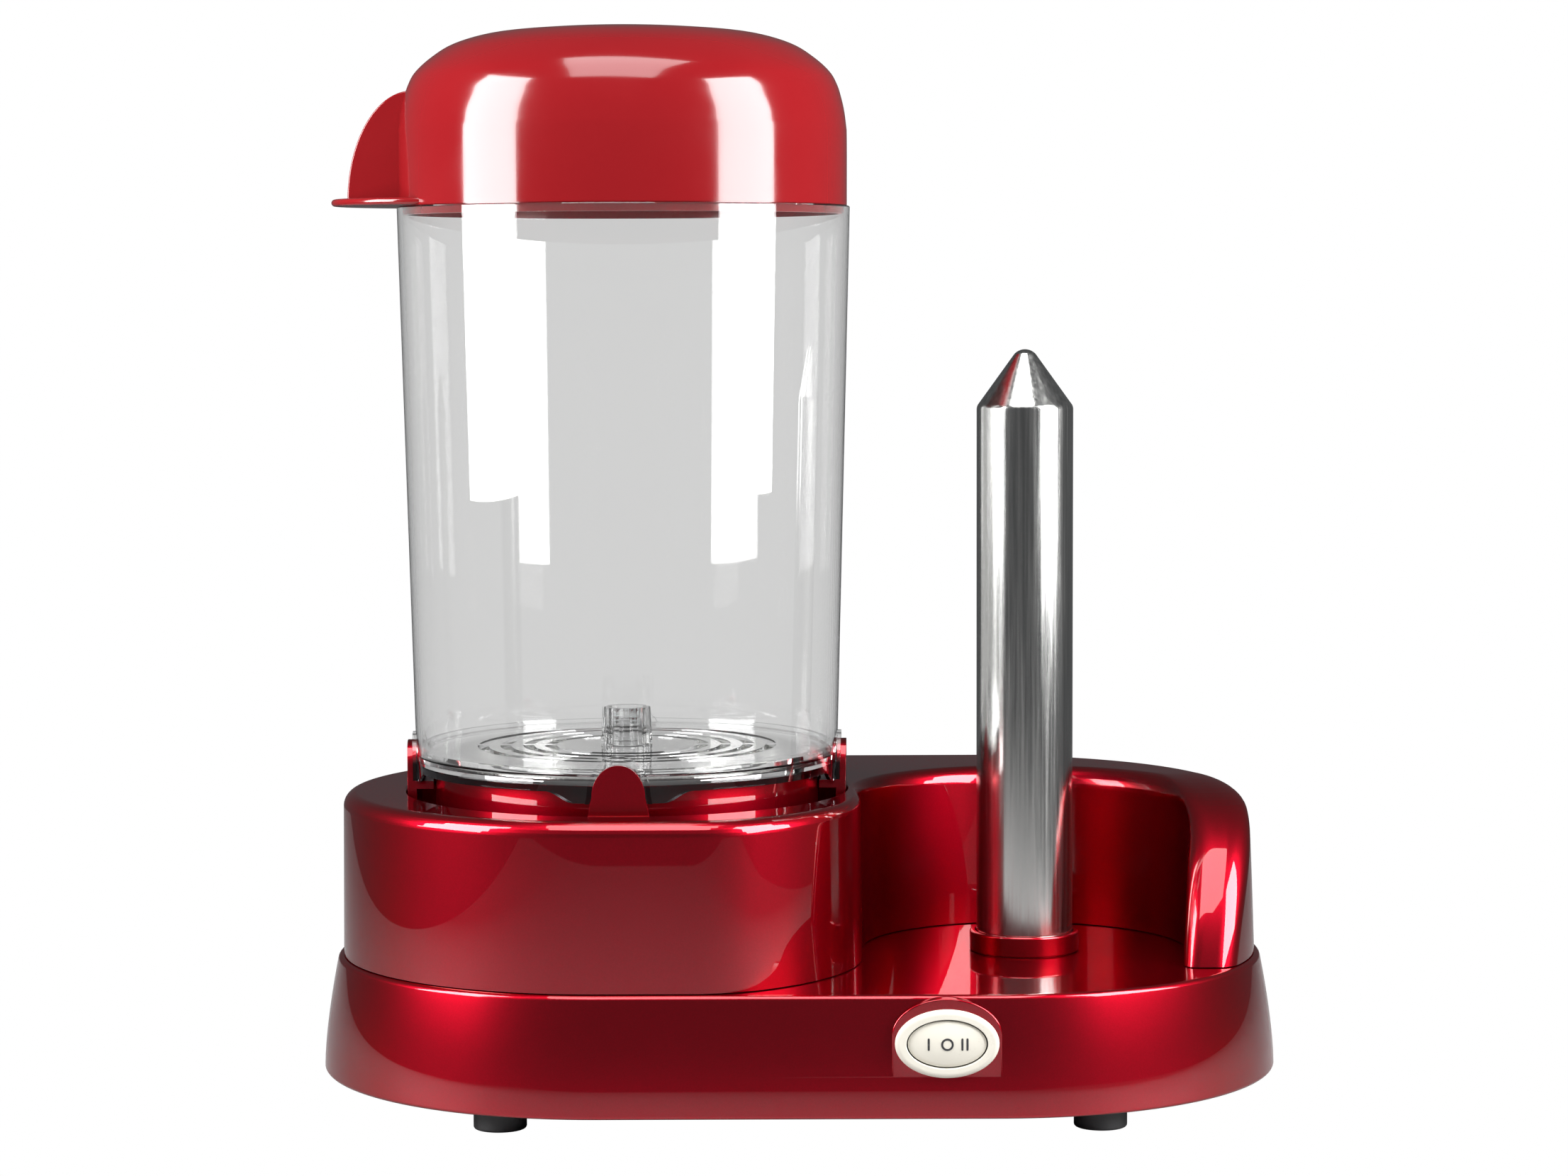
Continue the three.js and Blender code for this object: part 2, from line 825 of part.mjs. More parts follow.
// What is taken away between two tabs of the container's skirt
function skirtGap() {
  const chord = (distance) => {
    const angle = Math.PI / clipCount - distance / containerFootRadius;
    return containerFootRadius * Math.sin(angle);
  };
  const low = containerBottom - overrun;
  const high = containerBottom + skirtTabDrop;
  const slope = Array.from({ length: 9 }, (_, i) => {
    const share = i / 8;
    const distance = skirtTabWidth / 2 + skirtTabSlope * share;
    const rise = skirtTabDrop * (0.5 - 0.5 * Math.cos(Math.PI * share));
    return new THREE.Vector2(chord(distance), containerBottom + rise);
  });
  const mirrored = slope.map((p) => new THREE.Vector2(-p.x, p.y)).reverse();
  const outline = [
    new THREE.Vector2(-chord(skirtTabWidth / 2), low),
    new THREE.Vector2(chord(skirtTabWidth / 2), low),
    ...slope.slice(0, -1),
    new THREE.Vector2(chord(skirtTabWidth / 2 + skirtTabSlope), high),
    ...mirrored,
  ];
  return upright(outline, -containerRimRadius - overrun, -containerFootRadius / 2);
}

function container() {
  const taper = containerWall;
  const profile = [
    [containerRadius(containerBottom), containerBottom],
    [containerRadius(containerTop), containerTop],
    [containerRadius(containerTop) - taper, containerTop],
    [containerRadius(ledgeTop) - taper, ledgeTop],
    [containerRadius(ledgeTop) - taper - ledgeReach, ledgeTop],
    [containerRadius(ledgeTop) - taper - ledgeReach, ledgeTop - ledgeThickness],
    [containerRadius(ledgeTop) - taper, ledgeTop - 2 * ledgeThickness],
    [containerRadius(containerBottom) - taper, containerBottom],
  ];
  const tube = turned(profile, 48);
  const inner = clipWidth / 2 + lugGap;
  const lugRing = turned(
    [
      [containerFootRadius - containerWall / 2, containerBottom],
      [containerFootRadius + lugDepth, containerBottom],
      [containerFootRadius + lugDepth, clipTop + lugTopGap + overrun],
      [containerFootRadius - containerWall / 2, clipTop + lugTopGap + overrun],
    ],
    64,
  );
  const lugOutside = archOutline(lugGap + lugWidth, clipTop + lugTopGap);
  const lugInside = archOutline(lugGap, clipTop + lugTopGap - lugWidth);
  const lug = cut(
    upright(lugOutside, -containerRimRadius - overrun, -inner),
    upright(lugInside, -containerRimRadius - 2 * overrun, -inner / 2),
  ).intersect(lugRing);
  const turns = Array.from({ length: clipCount }, (_, i) => (360 * i) / clipCount);
  const lugs = turns.map((turn) => lug.rotate([0, 0, turn]));
  const gaps = turns.map((turn) => skirtGap().rotate([0, 0, turn + 180 / clipCount]));
  const made = cut(joined(tube, ...lugs), ...gaps);
  return piece("container", made.translate([drumX, 0, 0]), clearPlastic);
}

// The fluted outline of the tray's hub
function flutedOutline(radius) {
  return Array.from({ length: hubFluteCount * 4 }, (_, i) => {
    const angle = (fullTurn * i) / (hubFluteCount * 4);
    const reach = radius + (hubFluteDepth / 2) * Math.cos(hubFluteCount * angle);
    return new THREE.Vector2(reach * Math.cos(angle), reach * Math.sin(angle));
  });
}

function steamTray() {
  const radius = containerRadius(trayBottom) - containerWall - clearance;
  const plate = turned(
    [
      [0, trayBottom],
      [radius, trayBottom],
      [radius, trayTop + trayRimHeight],
      [radius - trayRimWidth, trayTop + trayRimHeight],
      [radius - trayRimWidth, trayTop],
      [0, trayTop],
    ],
    48,
  );
  const hub = loft([
    { outline: flutedOutline(hubFootRadius), z: trayBottom },
    { outline: flutedOutline(hubTopRadius), z: trayTop + hubHeight },
  ]);
  const bore = cylinder(0, 0, hubBore, trayTop, trayTop + hubHeight + overrun, 24);
  const slotCount = 1 + Math.floor((radius - slotMargin - slotFirstRadius) / slotPitch);
  const slots = Array.from({ length: slotCount }, (_, i) => {
    const middle = slotFirstRadius + i * slotPitch;
    const steps = Math.round(middle / slotFacet);
    const bridge = Math.asin(bridgeWidth / 2 / middle);
    const outline = [
      ...arc(0, 0, middle + slotWidth / 2, bridge, Math.PI - bridge, steps),
      ...arc(0, 0, middle - slotWidth / 2, Math.PI - bridge, bridge, steps),
    ];
    const slot = prism(outline, trayBottom - overrun, trayTop + overrun);
    return [slot, slot.rotate([0, 0, 180])];
  }).flat();
  const made = cut(joined(cut(plate, ...slots), hub), bore);
  return piece("steam_tray", made.translate([drumX, 0, 0]), clearPlastic);
}

// The lid's dome as [share of the radius, share of the height] pairs
const domeShares = [
  [1, 0],
  [1, 0.42],
  [0.99, 0.52],
  [0.976, 0.6],
  [0.958, 0.672],
  [0.925, 0.745],
  [0.854, 0.826],
  [0.76, 0.898],
  [0.617, 0.952],
  [0.45, 0.977],
  [0.25, 0.994],
  [0, 1],
];

function dome(radius, height) {
  return domeShares.map(([across, up]) => [radius * across, lidBottom + height * up]);
}

function lid() {
  const lipRadius = containerRadius(containerTop) - containerWall - clearance;
  const lipBottom = lidBottom - lipDepth;
  const inner = dome(lidRadius - lidWall, lidHeight - lidWall).filter((_, i) => i % 2 === 1);
  const shell = turned(
    [
      ...dome(lidRadius, lidHeight),
      ...inner.reverse(),
      [lipRadius - lipWall, inner[inner.length - 1][1] - lidWall],
      [lipRadius - lipWall, lipBottom],
      [lipRadius, lipBottom],
      [lipRadius, lidBottom],
    ],
    40,
  );
  const thumbX = -lidRadius - thumbReach + thumbRadius;
  const edge = thumbThickness / 3;
  const disc = arc(thumbX, 0, thumbRadius, 0, fullTurn, 40).slice(0, -1);
  const thumb = loft([
    { outline: inset(disc, edge), z: lidBottom },
    { outline: disc, z: lidBottom + edge },
    { outline: disc, z: lidBottom + thumbThickness - edge },
    { outline: inset(disc, edge), z: lidBottom + thumbThickness },
  ]);
  const finOutline = [
    new THREE.Vector2(-lidRadius + finRoot, lidBottom + thumbThickness / 2),
    new THREE.Vector2(-lidRadius + finRoot, lidBottom + finHeight),
    ...ellipseArc(
      -lidRadius + finRoot,
      lidBottom + thumbThickness / 2,
      finReach + finRoot,
      finHeight - thumbThickness / 2,
      quarterTurn,
      Math.PI,
      14,
    ).slice(1),
  ];
  const fin = upright(finOutline, -finThickness / 2, finThickness / 2);
  const core = turned(
    [
      ...dome(lidRadius - lidWall / 2, lidHeight - lidWall / 2),
      [0, lidBottom - overrun],
      [lidRadius - lidWall / 2, lidBottom - overrun],
    ],
    40,
  );
  const made = joined(shell, cut(joined(thumb, fin), core));
  return piece("lid", made.translate([drumX, 0, 0]), lidRed);
}

// The stainless pan that hangs by its rim in the upstand
function waterPan() {
  const inner = (points) => points.map(([radius, height]) => [radius - panSheet, height + panSheet]);
  const bowl = [
    [panFloorRadius, panBottom],
    [panFloorRadius + panCorner, panBottom + panCorner / 2],
    [panBowlRadius, panBottom + panCorner],
    [panBowlRadius, panRimBottom],
  ];
  const profile = [
    [0, panBottom],
    ...bowl,
    [panRimRadius, panRimBottom],
    [panRimRadius, panRimBottom + panSheet],
    ...inner(bowl).reverse(),
    [0, panBottom + panSheet],
  ];
  return piece("water_pan", turned(profile, 40).translate([drumX, 0, 0]), polishedSteel);
}

// The flat silicone ring between the pan's rim and the upstand
function panSeal() {
  const bottom = upstandTop + clearance;
  const profile = [
    [upstandInner, bottom],
    [panRimRadius - clearance, bottom],
    [panRimRadius - clearance, bottom + panSealThickness],
    [upstandInner, bottom + panSealThickness],
  ];
  return piece("pan_seal", turned(profile, 32).translate([drumX, 0, 0]), greyRubber);
}

// The cast heating plate with its ring element, the strap that holds it and its cut-outs
function panHeater() {
  const top = panBottom - clearance;
  const bottom = top - heaterPlateThickness;
  const bead = arc(heaterRingRadius, bottom, heaterTubeRadius, -Math.PI, 0, 8);
  const plate = turned(
    [
      [0, bottom],
      ...bead.map((p) => [p.x, p.y]),
      [heaterPlateRadius, bottom],
      [heaterPlateRadius, top],
      [0, top],
    ],
    32,
  ).translate([drumX, 0, 0]);

  const strapTop = gutterUnderside - bossRadius - clearance;
  const strapEnds = strapBossX + bossRadius;
  const strapBar = box(
    drumX - strapEnds,
    drumX + strapEnds,
    -strapWidth / 2,
    strapWidth / 2,
    strapTop - strapThickness,
    strapTop,
  );
  const crown = bottom - heaterTubeRadius - clearance;
  const cups = [-1, 1].map((s) =>
    box(
      drumX + s * heaterRingRadius - heaterTubeRadius,
      drumX + s * heaterRingRadius + heaterTubeRadius,
      -strapWidth / 2,
      strapWidth / 2,
      strapTop - strapThickness,
      crown,
    ),
  );
  const strapHoles = [
    cylinder(drumX, 0, strapHoleRadius, strapTop - wall - overrun, strapTop + overrun, 24),
    ...[-1, 1].map((s) =>
      cylinder(
        drumX + s * strapBossX,
        0,
        screwBore + clearance,
        strapTop - wall - overrun,
        strapTop + overrun,
        12,
      ),
    ),
  ];
  const strap = cut(joined(strapBar, ...cups), ...strapHoles);

  const thermostat = joined(
    cylinder(drumX, 0, thermostatRadius, bottom - clearance - thermostatHeight, bottom - clearance, 24),
    ...[-1, 1].map((s) =>
      box(
        drumX + s * thermostatRadius * thermostatBladeShare - bladeThickness / 2,
        drumX + s * thermostatRadius * thermostatBladeShare + bladeThickness / 2,
        -bladeWidth / 2,
        bladeWidth / 2,
        bottom - clearance - thermostatHeight - bladeLength,
        bottom - thermostatHeight,
      ),
    ),
  );
  const fuse = solid(
    new THREE.CylinderGeometry(fuseRadius, fuseRadius, fuseLength, 12).rotateZ(quarterTurn),
  ).translate([drumX, fuseY, bottom - clearance - fuseRadius]);
  return [
    piece("heater_plate", plate, aluminium),
    piece("heater_strap", strap, zincSteel),
    piece("thermostat", thermostat, blackPlastic),
    piece("thermal_fuse", fuse, ceramic),
  ];
}

function spikeTube() {
  const tipCentre = spikeTip - spikeTipRadius;
  const slope = Math.atan2(spikeTip - spikeShoulder, spikeRadius);
  const tip = arc(0, tipCentre, spikeTipRadius, quarterTurn - slope / 2, quarterTurn, 4);
  const bottom = spikeFlangeTop - spikeFlangeThickness;
  const innerTip = spikeTip - spikeWall * 2;
  return turned(
    [
      [spikeRadius - spikeWall, bottom],
      [spikeRadius + spikeFlangeWidth, bottom],
      [spikeRadius + spikeFlangeWidth, spikeFlangeTop],
      [spikeRadius, spikeFlangeTop],
      [spikeRadius, spikeShoulder],
      ...tip.map((p) => [Math.abs(p.x) < clearance / 10 ? 0 : p.x, p.y]),
      [0, innerTip],
      [spikeRadius - spikeWall, spikeShoulder - spikeWall / 2],
    ],
    32,
  );
}

function spike() {
  const place = [spikeX, spikeY, 0];
  const tube = spikeTube().translate(place);
  const ringTop = deckLevel + clearance + collarHeight;
  const collar = turned(
    [
      [spikeRadius + clearance, deckUnderside],
      [spikeRadius + clearance + collarSpigot, deckUnderside],
      [spikeRadius + clearance + collarSpigot, deckLevel + clearance],
      [collarRadius, deckLevel + clearance],
      [collarRadius, ringTop - collarEdge],
      [collarRadius - collarEdge, ringTop],
      [spikeRadius + clearance, ringTop],
    ],
    32,
  ).translate(place);
  const heaterBottom = bracketTop + clearance;
  const heater = turned(
    [
      [0, heaterBottom],
      [spikeHeaterBase, heaterBottom],
      [spikeHeaterBase, heaterBottom + spikeHeaterBaseHeight],
      [spikeHeaterRadius, heaterBottom + spikeHeaterBaseHeight],
      [spikeHeaterRadius, heaterBottom + spikeHeaterLength],
      [0, heaterBottom + spikeHeaterLength],
    ],
    24,
  ).translate(place);
  const screwHoles = [-1, 1].map((s) =>
    cylinder(
      spikeX + s * bracketBossSpread,
      spikeY,
      screwBore + clearance,
      bracketTop - wall - overrun,
      bracketTop + overrun,
      12,
    ),
  );
  const wires = cylinder(
    spikeX,
    spikeY,
    bracketWireRadius,
    bracketTop - wall - overrun,
    bracketTop + overrun,
    16,
  );
  const bracket = cut(
    box(
      spikeX - bracketLength / 2,
      spikeX + bracketLength / 2,
      spikeY - bracketWidth / 2,
      spikeY + bracketWidth / 2,
      bracketTop - bracketThickness,
      bracketTop,
    ),
    wires,
    ...screwHoles,
  );
  return [
    piece("spike_tube", tube, polishedSteel),
    piece("spike_collar", collar, candyRed),
    piece("spike_heater", heater, ceramic),
    piece("spike_bracket", bracket, zincSteel),
  ];
}

// The switch: bezel, rocker on its pin, and the body behind the pad
function rockerSwitch() {
  const place = [switchX, -padFront, switchHeight];
  const forward = (made) => made.rotate([90, 0, 0]).translate(place);
  const bezelFoot = clearance;
  const bezelFace = bezelFoot + bezelThickness;
  const bezelOutline = ellipse(bezelWidth / 2, bezelHeight / 2, 32);
  const opening = ellipse(rockerWidth / 2 + rockerGap, rockerHeight / 2 + rockerGap, 32);
  const bezel = cut(
    loft([
      { outline: bezelOutline, z: bezelFoot },
      { outline: bezelOutline, z: bezelFace - bezelEdge },
      { outline: inset(bezelOutline, bezelEdge / 3), z: bezelFace - bezelEdge / 3 },
      { outline: inset(bezelOutline, bezelEdge), z: bezelFace },
    ]),
    prism(opening, bezelFoot - overrun, bezelFace + overrun),
  );

  const face = ellipse(rockerWidth / 2, rockerHeight / 2, 28);
  const rim = bezelFace - rockerDrop;
  const back = ellipse(rockerWidth / 2 - rockerTaper, rockerHeight / 2 - clearance, 28);
  const scaled = (share) => ellipse((rockerWidth / 2) * share, (rockerHeight / 2) * share, 28);
  const pinBore = (radius, half) =>
    cylinder(0, -pinDepth, radius, -half, half, 12).rotate([90, 0, 0]);
  const rockerSolid = loft([
    { outline: back, z: rim - rockerDepth },
    { outline: face, z: rim },
    { outline: scaled(rockerShoulderShare), z: rim + rockerDome * rockerShoulderRiseShare },
    { outline: scaled(rockerCrownShare), z: rim + rockerDome },
  ]);
  const bodyA = bezelWidth / 2 - wall;
  const bodyB = bezelHeight / 2 - wall;
  const socketA = bodyA - switchBodyWall;
  const socketB = bodyB - switchBodyWall;
  const body = cut(
    prism(ellipse(bodyA, bodyB, 24), -switchBodyDepth, 0),
    prism(ellipse(socketA, socketB, 24), -switchSocketDepth, overrun),
    pinBore(pinRadius + clearance, bodyB + overrun),
  );
  const blades = [-1, 0, 1].map((s) =>
    box(
      s * bladePitch - bladeThickness / 2,
      s * bladePitch + bladeThickness / 2,
      -bladeWidth / 2,
      bladeWidth / 2,
      -switchBodyDepth - bladeLength,
      -switchBodyDepth + clearance,
    ),
  );
  const rocker = cut(rockerSolid, pinBore(pinRadius + clearance, rockerHeight));
  const pin = pinBore(pinRadius, bodyB - clearance);
  return [
    piece("switch_bezel", forward(bezel), ivory),
    piece("switch_rocker", forward(rocker), ivory),
    piece("switch_pin", forward(pin), zincSteel),
    piece("switch_body", forward(joined(body, ...blades)), blackPlastic),
  ];
}

// The gland for the cord at the rear and the terminal block behind it
function rearFittings() {
  const seat = padFront + clearance;
  const gland = turned(
    [
      [glandBore, -glandSleeveLength],
      [glandSleeveRadius, -glandSleeveLength],
      [glandSleeveRadius, 0],
      [glandFlangeRadius, 0],
      [glandFlangeRadius - glandFlangeThickness / 2, glandFlangeThickness],
      [glandBore, glandFlangeThickness],
    ],
    24,
  )
    .rotate([-90, 0, 0])
    .translate([glandX, seat, glandHeight]);
  const blockBottom = plateTop + clearance;
  const bores = Array.from({ length: blockBoreCount }, (_, i) => {
    const x = blockX + (i - (blockBoreCount - 1) / 2) * (blockLength / blockBoreCount);
    const outline = arc(x, blockBottom + blockHeight / 2, blockBoreRadius, 0, fullTurn, 12);
    return upright(outline.slice(0, -1), blockY - blockWidth, blockY + blockWidth);
  });
  const block = cut(
    box(
      blockX - blockLength / 2,
      blockX + blockLength / 2,
      blockY - blockWidth / 2,
      blockY + blockWidth / 2,
      blockBottom,
      blockBottom + blockHeight,
    ),
    ...bores,
  );
  return [piece("cord_gland", gland, blackPlastic), piece("terminal_block", block, ceramic)];
}

const base = new THREE.Group();
base.add(basePlate(), ...feet(), plinth(), housing(), ...clips());
base.add(waterPan(), panSeal(), ...panHeater(), ...spike(), ...rockerSwitch(), ...rearFittings());

const steamer = new THREE.Group();
steamer.add(container(), steamTray(), lid());

const group = new THREE.Group();
group.add(base, steamer);
export default group;
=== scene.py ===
import math

import bmesh
import bpy
from mathutils import Matrix, Vector


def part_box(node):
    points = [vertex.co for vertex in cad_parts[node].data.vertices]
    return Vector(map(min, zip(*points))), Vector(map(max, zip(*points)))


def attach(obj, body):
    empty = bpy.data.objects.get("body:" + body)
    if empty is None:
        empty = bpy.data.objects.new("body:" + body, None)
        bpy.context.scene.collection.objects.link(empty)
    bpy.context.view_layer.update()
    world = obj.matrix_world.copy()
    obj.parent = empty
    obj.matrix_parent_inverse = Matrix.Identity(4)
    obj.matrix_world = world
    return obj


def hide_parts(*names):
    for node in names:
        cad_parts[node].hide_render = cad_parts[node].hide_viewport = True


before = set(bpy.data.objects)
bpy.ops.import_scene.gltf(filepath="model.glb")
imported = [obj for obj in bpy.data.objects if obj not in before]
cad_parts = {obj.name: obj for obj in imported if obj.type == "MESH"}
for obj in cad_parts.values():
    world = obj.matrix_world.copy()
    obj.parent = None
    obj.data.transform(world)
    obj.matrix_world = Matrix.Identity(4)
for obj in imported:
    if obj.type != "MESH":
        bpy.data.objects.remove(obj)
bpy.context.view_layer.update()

# Lengths are in millimetres until a mesh is made
MM = 0.001
GAP = 0.3
OVERRUN = 2.0
WALL = 2.5
WELL_DEPTH = 16.0
TURN = 2 * math.pi
QUARTER = math.pi / 2


def low(node):
    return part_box(node)[0] / MM


def high(node):
    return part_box(node)[1] / MM


def middle(node):
    return [(a + b) / 2 for a, b in zip(low(node), high(node))]


# Heights and places that the frame gives
BASE_R = (high("plinth").y - low("plinth").y) / 2
END_X = high("plinth").x - BASE_R
FOOT_TOP = low("plinth").z
DECK = high("plinth").z
DECK_UNDER = DECK - WALL
HOUSING_FOOT = low("housing").z
HOUSING_R = high("housing").y
DRUM_X = middle("container")[0]
CONTAINER_FOOT = low("container").z
CONTAINER_TOP = high("container").z
RIM_R = high("container").y
CLIP_TOP = high("clip_front").z
CLIP_OUTER = -low("clip_front").y
WELL_R = CLIP_OUTER + GAP
GUTTER = low("clip_front").z - GAP
HOUSING_TOP = GUTTER + WELL_DEPTH
UPSTAND_TOP = high("housing").z
TRAY_FOOT = low("steam_tray").z
TRAY_R = high("steam_tray").y
HUB_TOP = high("steam_tray").z
LID_TOP = high("lid").z
LID_R = high("lid").y
LID_FOOT = CONTAINER_TOP + GAP
SPIKE_X, SPIKE_Y, _ = middle("spike_tube")
SPIKE_TIP = high("spike_tube").z
GLAND_X, _, GLAND_Z = middle("cord_gland")
SWITCH_X, _, SWITCH_Z = middle("switch_bezel")
BEZEL_BACK = high("switch_bezel").y
PAD_FRONT = -(BEZEL_BACK + GAP)

# Plinth
SKIRT_LEAN = 4.8
SKIRT_BEND = 1.5
LOWER_EDGE = 1.2
DECK_EDGE = 1.4
PAD_HALF = 16.25
PAD_ARCH = 11.0
PAD_SPRING = SWITCH_Z + 2.2
PAD_FOOT = SWITCH_Z - 14
PAD_EDGE = 0.5
GLAND_PAD_R = 10.0
GLAND_HOLE_R = 5.9
SPIKE_HOLE_PLAY = 1.8
WIRING_R = 40.0

# Housing
DRAFT = 0.5
OUTER_EDGE = 4.5
SHOULDER_R = 40.0
FLANK_R = 68.6
FLANK_Y = -19.8
ALCOVE_X = SPIKE_X
ALCOVE_Y = SPIKE_Y
ALCOVE_R = 51.0
ALCOVE_DRAFT = 1.2
SIDE_EDGE = 2.5
REAR_EDGE = 6.0
ARM_FRONT = -42.0
ARM_LEAN = 0.127
ARM_LEAN_END = 12.0
ARM_CURVE = 68.0
ARM_INNER = 4.6
ARM_INNER_GROWTH = 5.0
ARM_OUTER = 8.0
ARM_OUTER_GROWTH = 3.0
ARM_EDGE = 6.0
ARM_OUTER_EDGE = 8.0
ARM_DRAFT = 2.0
ALCOVE_END_TURN = 0.02
CORNER_START_TURN = 0.06
WELL_EDGE = 1.0
UPSTAND_R = 60.5

# Clips and container
CLIP_COUNT = 4
CLIP_THICK = 2.8
CLIP_HALF = 9.15
CLIP_NECK = 8.0
CLIP_SPRING = HOUSING_TOP + 5.6
CLIP_BAR_TOP = CONTAINER_FOOT - GAP
CLIP_BAR = 2.4
CLIP_ROUND = 1.0
GLASS = 1.6
RIM_EDGE = 0.3
FOOT_R = CLIP_OUTER - CLIP_THICK - GAP
TAB_WIDTH = 27.2
TAB_SLOPE = 9.0
TAB_DROP = 3.4
LEDGE_TOP = TRAY_FOOT - GAP
LEDGE = 1.4
LEDGE_REACH = 2.6
LEDGE_EDGE = 0.5
# Below the skirt's top the container's clear plastic gets a painted shade, which fades in over the
# next constant's length each way
SKIRT_TOP = LEDGE_TOP - 2
PAINTED_SHADE_FADE = 0.8
LUG_GAP = 0.4
LUG = 1.2
LUG_DEPTH = 1.5
LUG_TOP = 2.6

# Tray
TRAY_THICK = 1.9
TRAY_RIM = 1.2
TRAY_RIM_WIDE = 1.6
TRAY_EDGE = 0.4
TRAY_ROUND = 0.25
SLOT_COUNT = 4
SLOT_FIRST = 24.0
SLOT_PITCH = 7.1
SLOT = 3.5
BRIDGE = 4.0
HUB_R_TOP = 7.0
HUB_R_FOOT = 8.0
HUB_BORE = 5.2
FLUTES = 10
FLUTE = 0.5

# Lid
LID_WALL = 2.0
LIP = 2.8
LIP_WALL = 1.6
THUMB_R = 34.5
THUMB_REACH = 21.4
THUMB = 2.2
FIN = 2.5
FIN_REACH = 16.5
FIN_HEIGHT = 36.0
FIN_ROOT = 4.0
FIN_ROUND = 0.5
# The dome's half profile: shares of its radius and of its height
DOME_SHARES = [
    (1, 0),
    (1, 0.42),
    (0.99, 0.52),
    (0.976, 0.6),
    (0.958, 0.672),
    (0.925, 0.745),
    (0.854, 0.826),
    (0.76, 0.898),
    (0.617, 0.952),
    (0.45, 0.977),
    (0.25, 0.994),
    (0, 1),
]

# Spike, collar, pan
SPIKE_R = 15.05
SPIKE_SHOULDER = SPIKE_TIP - 17.2
SPIKE_TIP_R = 4.5
SPIKE_SHOULDER_R = 3.0
SPIKE_WALL = 1.0
SPIKE_FLANGE = 4.0
SPIKE_FLANGE_THICK = 1.2
COLLAR_R = 17.2
COLLAR_TOP = high("spike_collar").z
COLLAR_EDGE = 0.8
COLLAR_FOOT_EDGE = 0.2
COLLAR_BORE_EDGE = 0.3
COLLAR_SPIGOT = 1.2
PAN_RIM_R = 59.6
PAN_R = 55.6
PAN_FLOOR_R = 49.0
PAN_SHEET = 0.8
PAN_CORNER = 5.0
PAN_KNEE = 1.0

# Switch and feet
BEZEL_A = 15.4
BEZEL_B = 10.2
BEZEL_THICK = 1.6
BEZEL_FACE = GAP + BEZEL_THICK
BEZEL_ROUND = 1.6
BEZEL_ROUND_SHARE = 0.75
BEZEL_EDGE = 0.25
ROCKER_A = 11.6
ROCKER_B = 6.85
ROCKER_GAP = 0.4
ROCKER_DOME = 0.9
ROCKER_DEPTH = 4.6
ROCKER_TAPER = 2.0
ROCKER_DROP = 0.6
ROCKER_RIM = BEZEL_FACE - ROCKER_DROP
ROCKER_EDGE = 0.25
ROCKER_RINGS = 12
PIN_R = 0.8
PIN_DEPTH = 1.6
BORE_HALF = 12.0
MARK_HALF = 1.85
STROKE_HALF = 0.31
STROKE_PROUD = 0.06
# Each stroke of the marks, and how far to the right of the middle it stands
STROKES = (("mark_one", -5.5), ("mark_two_left", 4.4), ("mark_two_right", 5.9))
ZERO_BORE = 1.25
ZERO_PROUD = 0.04
FOOT_HEAD = 0.7
FOOT_HOLLOW = 0.4
FOOT_RING = 2.6
FOOT_EDGE = 0.8
FOOT_SPIGOT_R = 3.0

# Smoothness
ROUND_STEPS = 6
SOFT_STEPS = 8
FINE_TURN = 192
SHARP = math.radians(32)


# Shader values


def grey(level, blue=0.0):
    return (level, level, level + blue, 1)


class Value:
    """A shader value that adds and multiplies as a number does."""

    def __init__(self, nodes, socket):
        self.nodes = nodes
        self.socket = socket

    def __add__(self, other):
        return self.nodes.math("ADD", self, other)

    def __radd__(self, other):
        return self.nodes.math("ADD", other, self)

    def __mul__(self, other):
        return self.nodes.math("MULTIPLY", self, other)

    def __rmul__(self, other):
        return self.nodes.math("MULTIPLY", other, self)


class Nodes:
    """A node tree that is written as expressions."""

    def __init__(self, tree):
        self.tree = tree

    def add(self, kind, settings=None, inputs=None, output=0):
        node = self.tree.nodes.new(kind)
        for key, value in (settings or {}).items():
            setattr(node, key, value)
        for key, value in (inputs or {}).items():
            self.feed(node.inputs[key], value)
        return Value(self, node.outputs[output])

    def feed(self, socket, value):
        if isinstance(value, Value):
            self.tree.links.new(value.socket, socket)
        else:
            socket.default_value = value

    def math(self, operation, *values):
        return self.add("ShaderNodeMath", {"operation": operation}, dict(enumerate(values)))

    def ranged(self, value, from_low, from_high, to_low, to_high):
        inputs = {0: value, 1: from_low, 2: from_high, 3: to_low, 4: to_high}
        return self.add("ShaderNodeMapRange", None, inputs)

    def shaded(self, factor, first, second):
        return self.add("ShaderNodeMixShader", None, {0: factor, 1: first, 2: second})

    def ray(self, kind):
        return self.add("ShaderNodeLightPath", output=kind)


class Paint(Nodes):
    """A material: what is the same all over it, and then what varies."""

    def __init__(self, name, **constants):
        self.material = bpy.data.materials.new(name)
        self.material.use_nodes = True
        super().__init__(self.material.node_tree)
        self.surface = self.tree.nodes["Principled BSDF"]
        self.varies(**constants)

    def place(self, stretch=(1, 1, 1)):
        spot = self.add("ShaderNodeTexCoord", output="Object")
        return self.add("ShaderNodeMapping", None, {"Vector": spot, "Scale": stretch})

    def noise(self, scale, detail=3.0, roughness=0.55, stretch=(1, 1, 1)):
        inputs = {
            "Vector": self.place(stretch),
            "Scale": scale,
            "Detail": detail,
            "Roughness": roughness,
        }
        return self.add("ShaderNodeTexNoise", None, inputs, "Fac")

    def mixed(self, factor, first, second):
        # 6 and 7 are the node's two colours
        inputs = {"Factor": factor, 6: first, 7: second}
        return self.add("ShaderNodeMix", {"data_type": "RGBA"}, inputs, 2)

    def bump(self, height, strength, distance):
        inputs = {"Height": height, "Strength": strength, "Distance": distance}
        self.feed(self.surface.inputs["Normal"], self.add("ShaderNodeBump", None, inputs))

    def varies(self, **values):
        for key, value in values.items():
            self.feed(self.surface.inputs[key.replace("_", " ")], value)


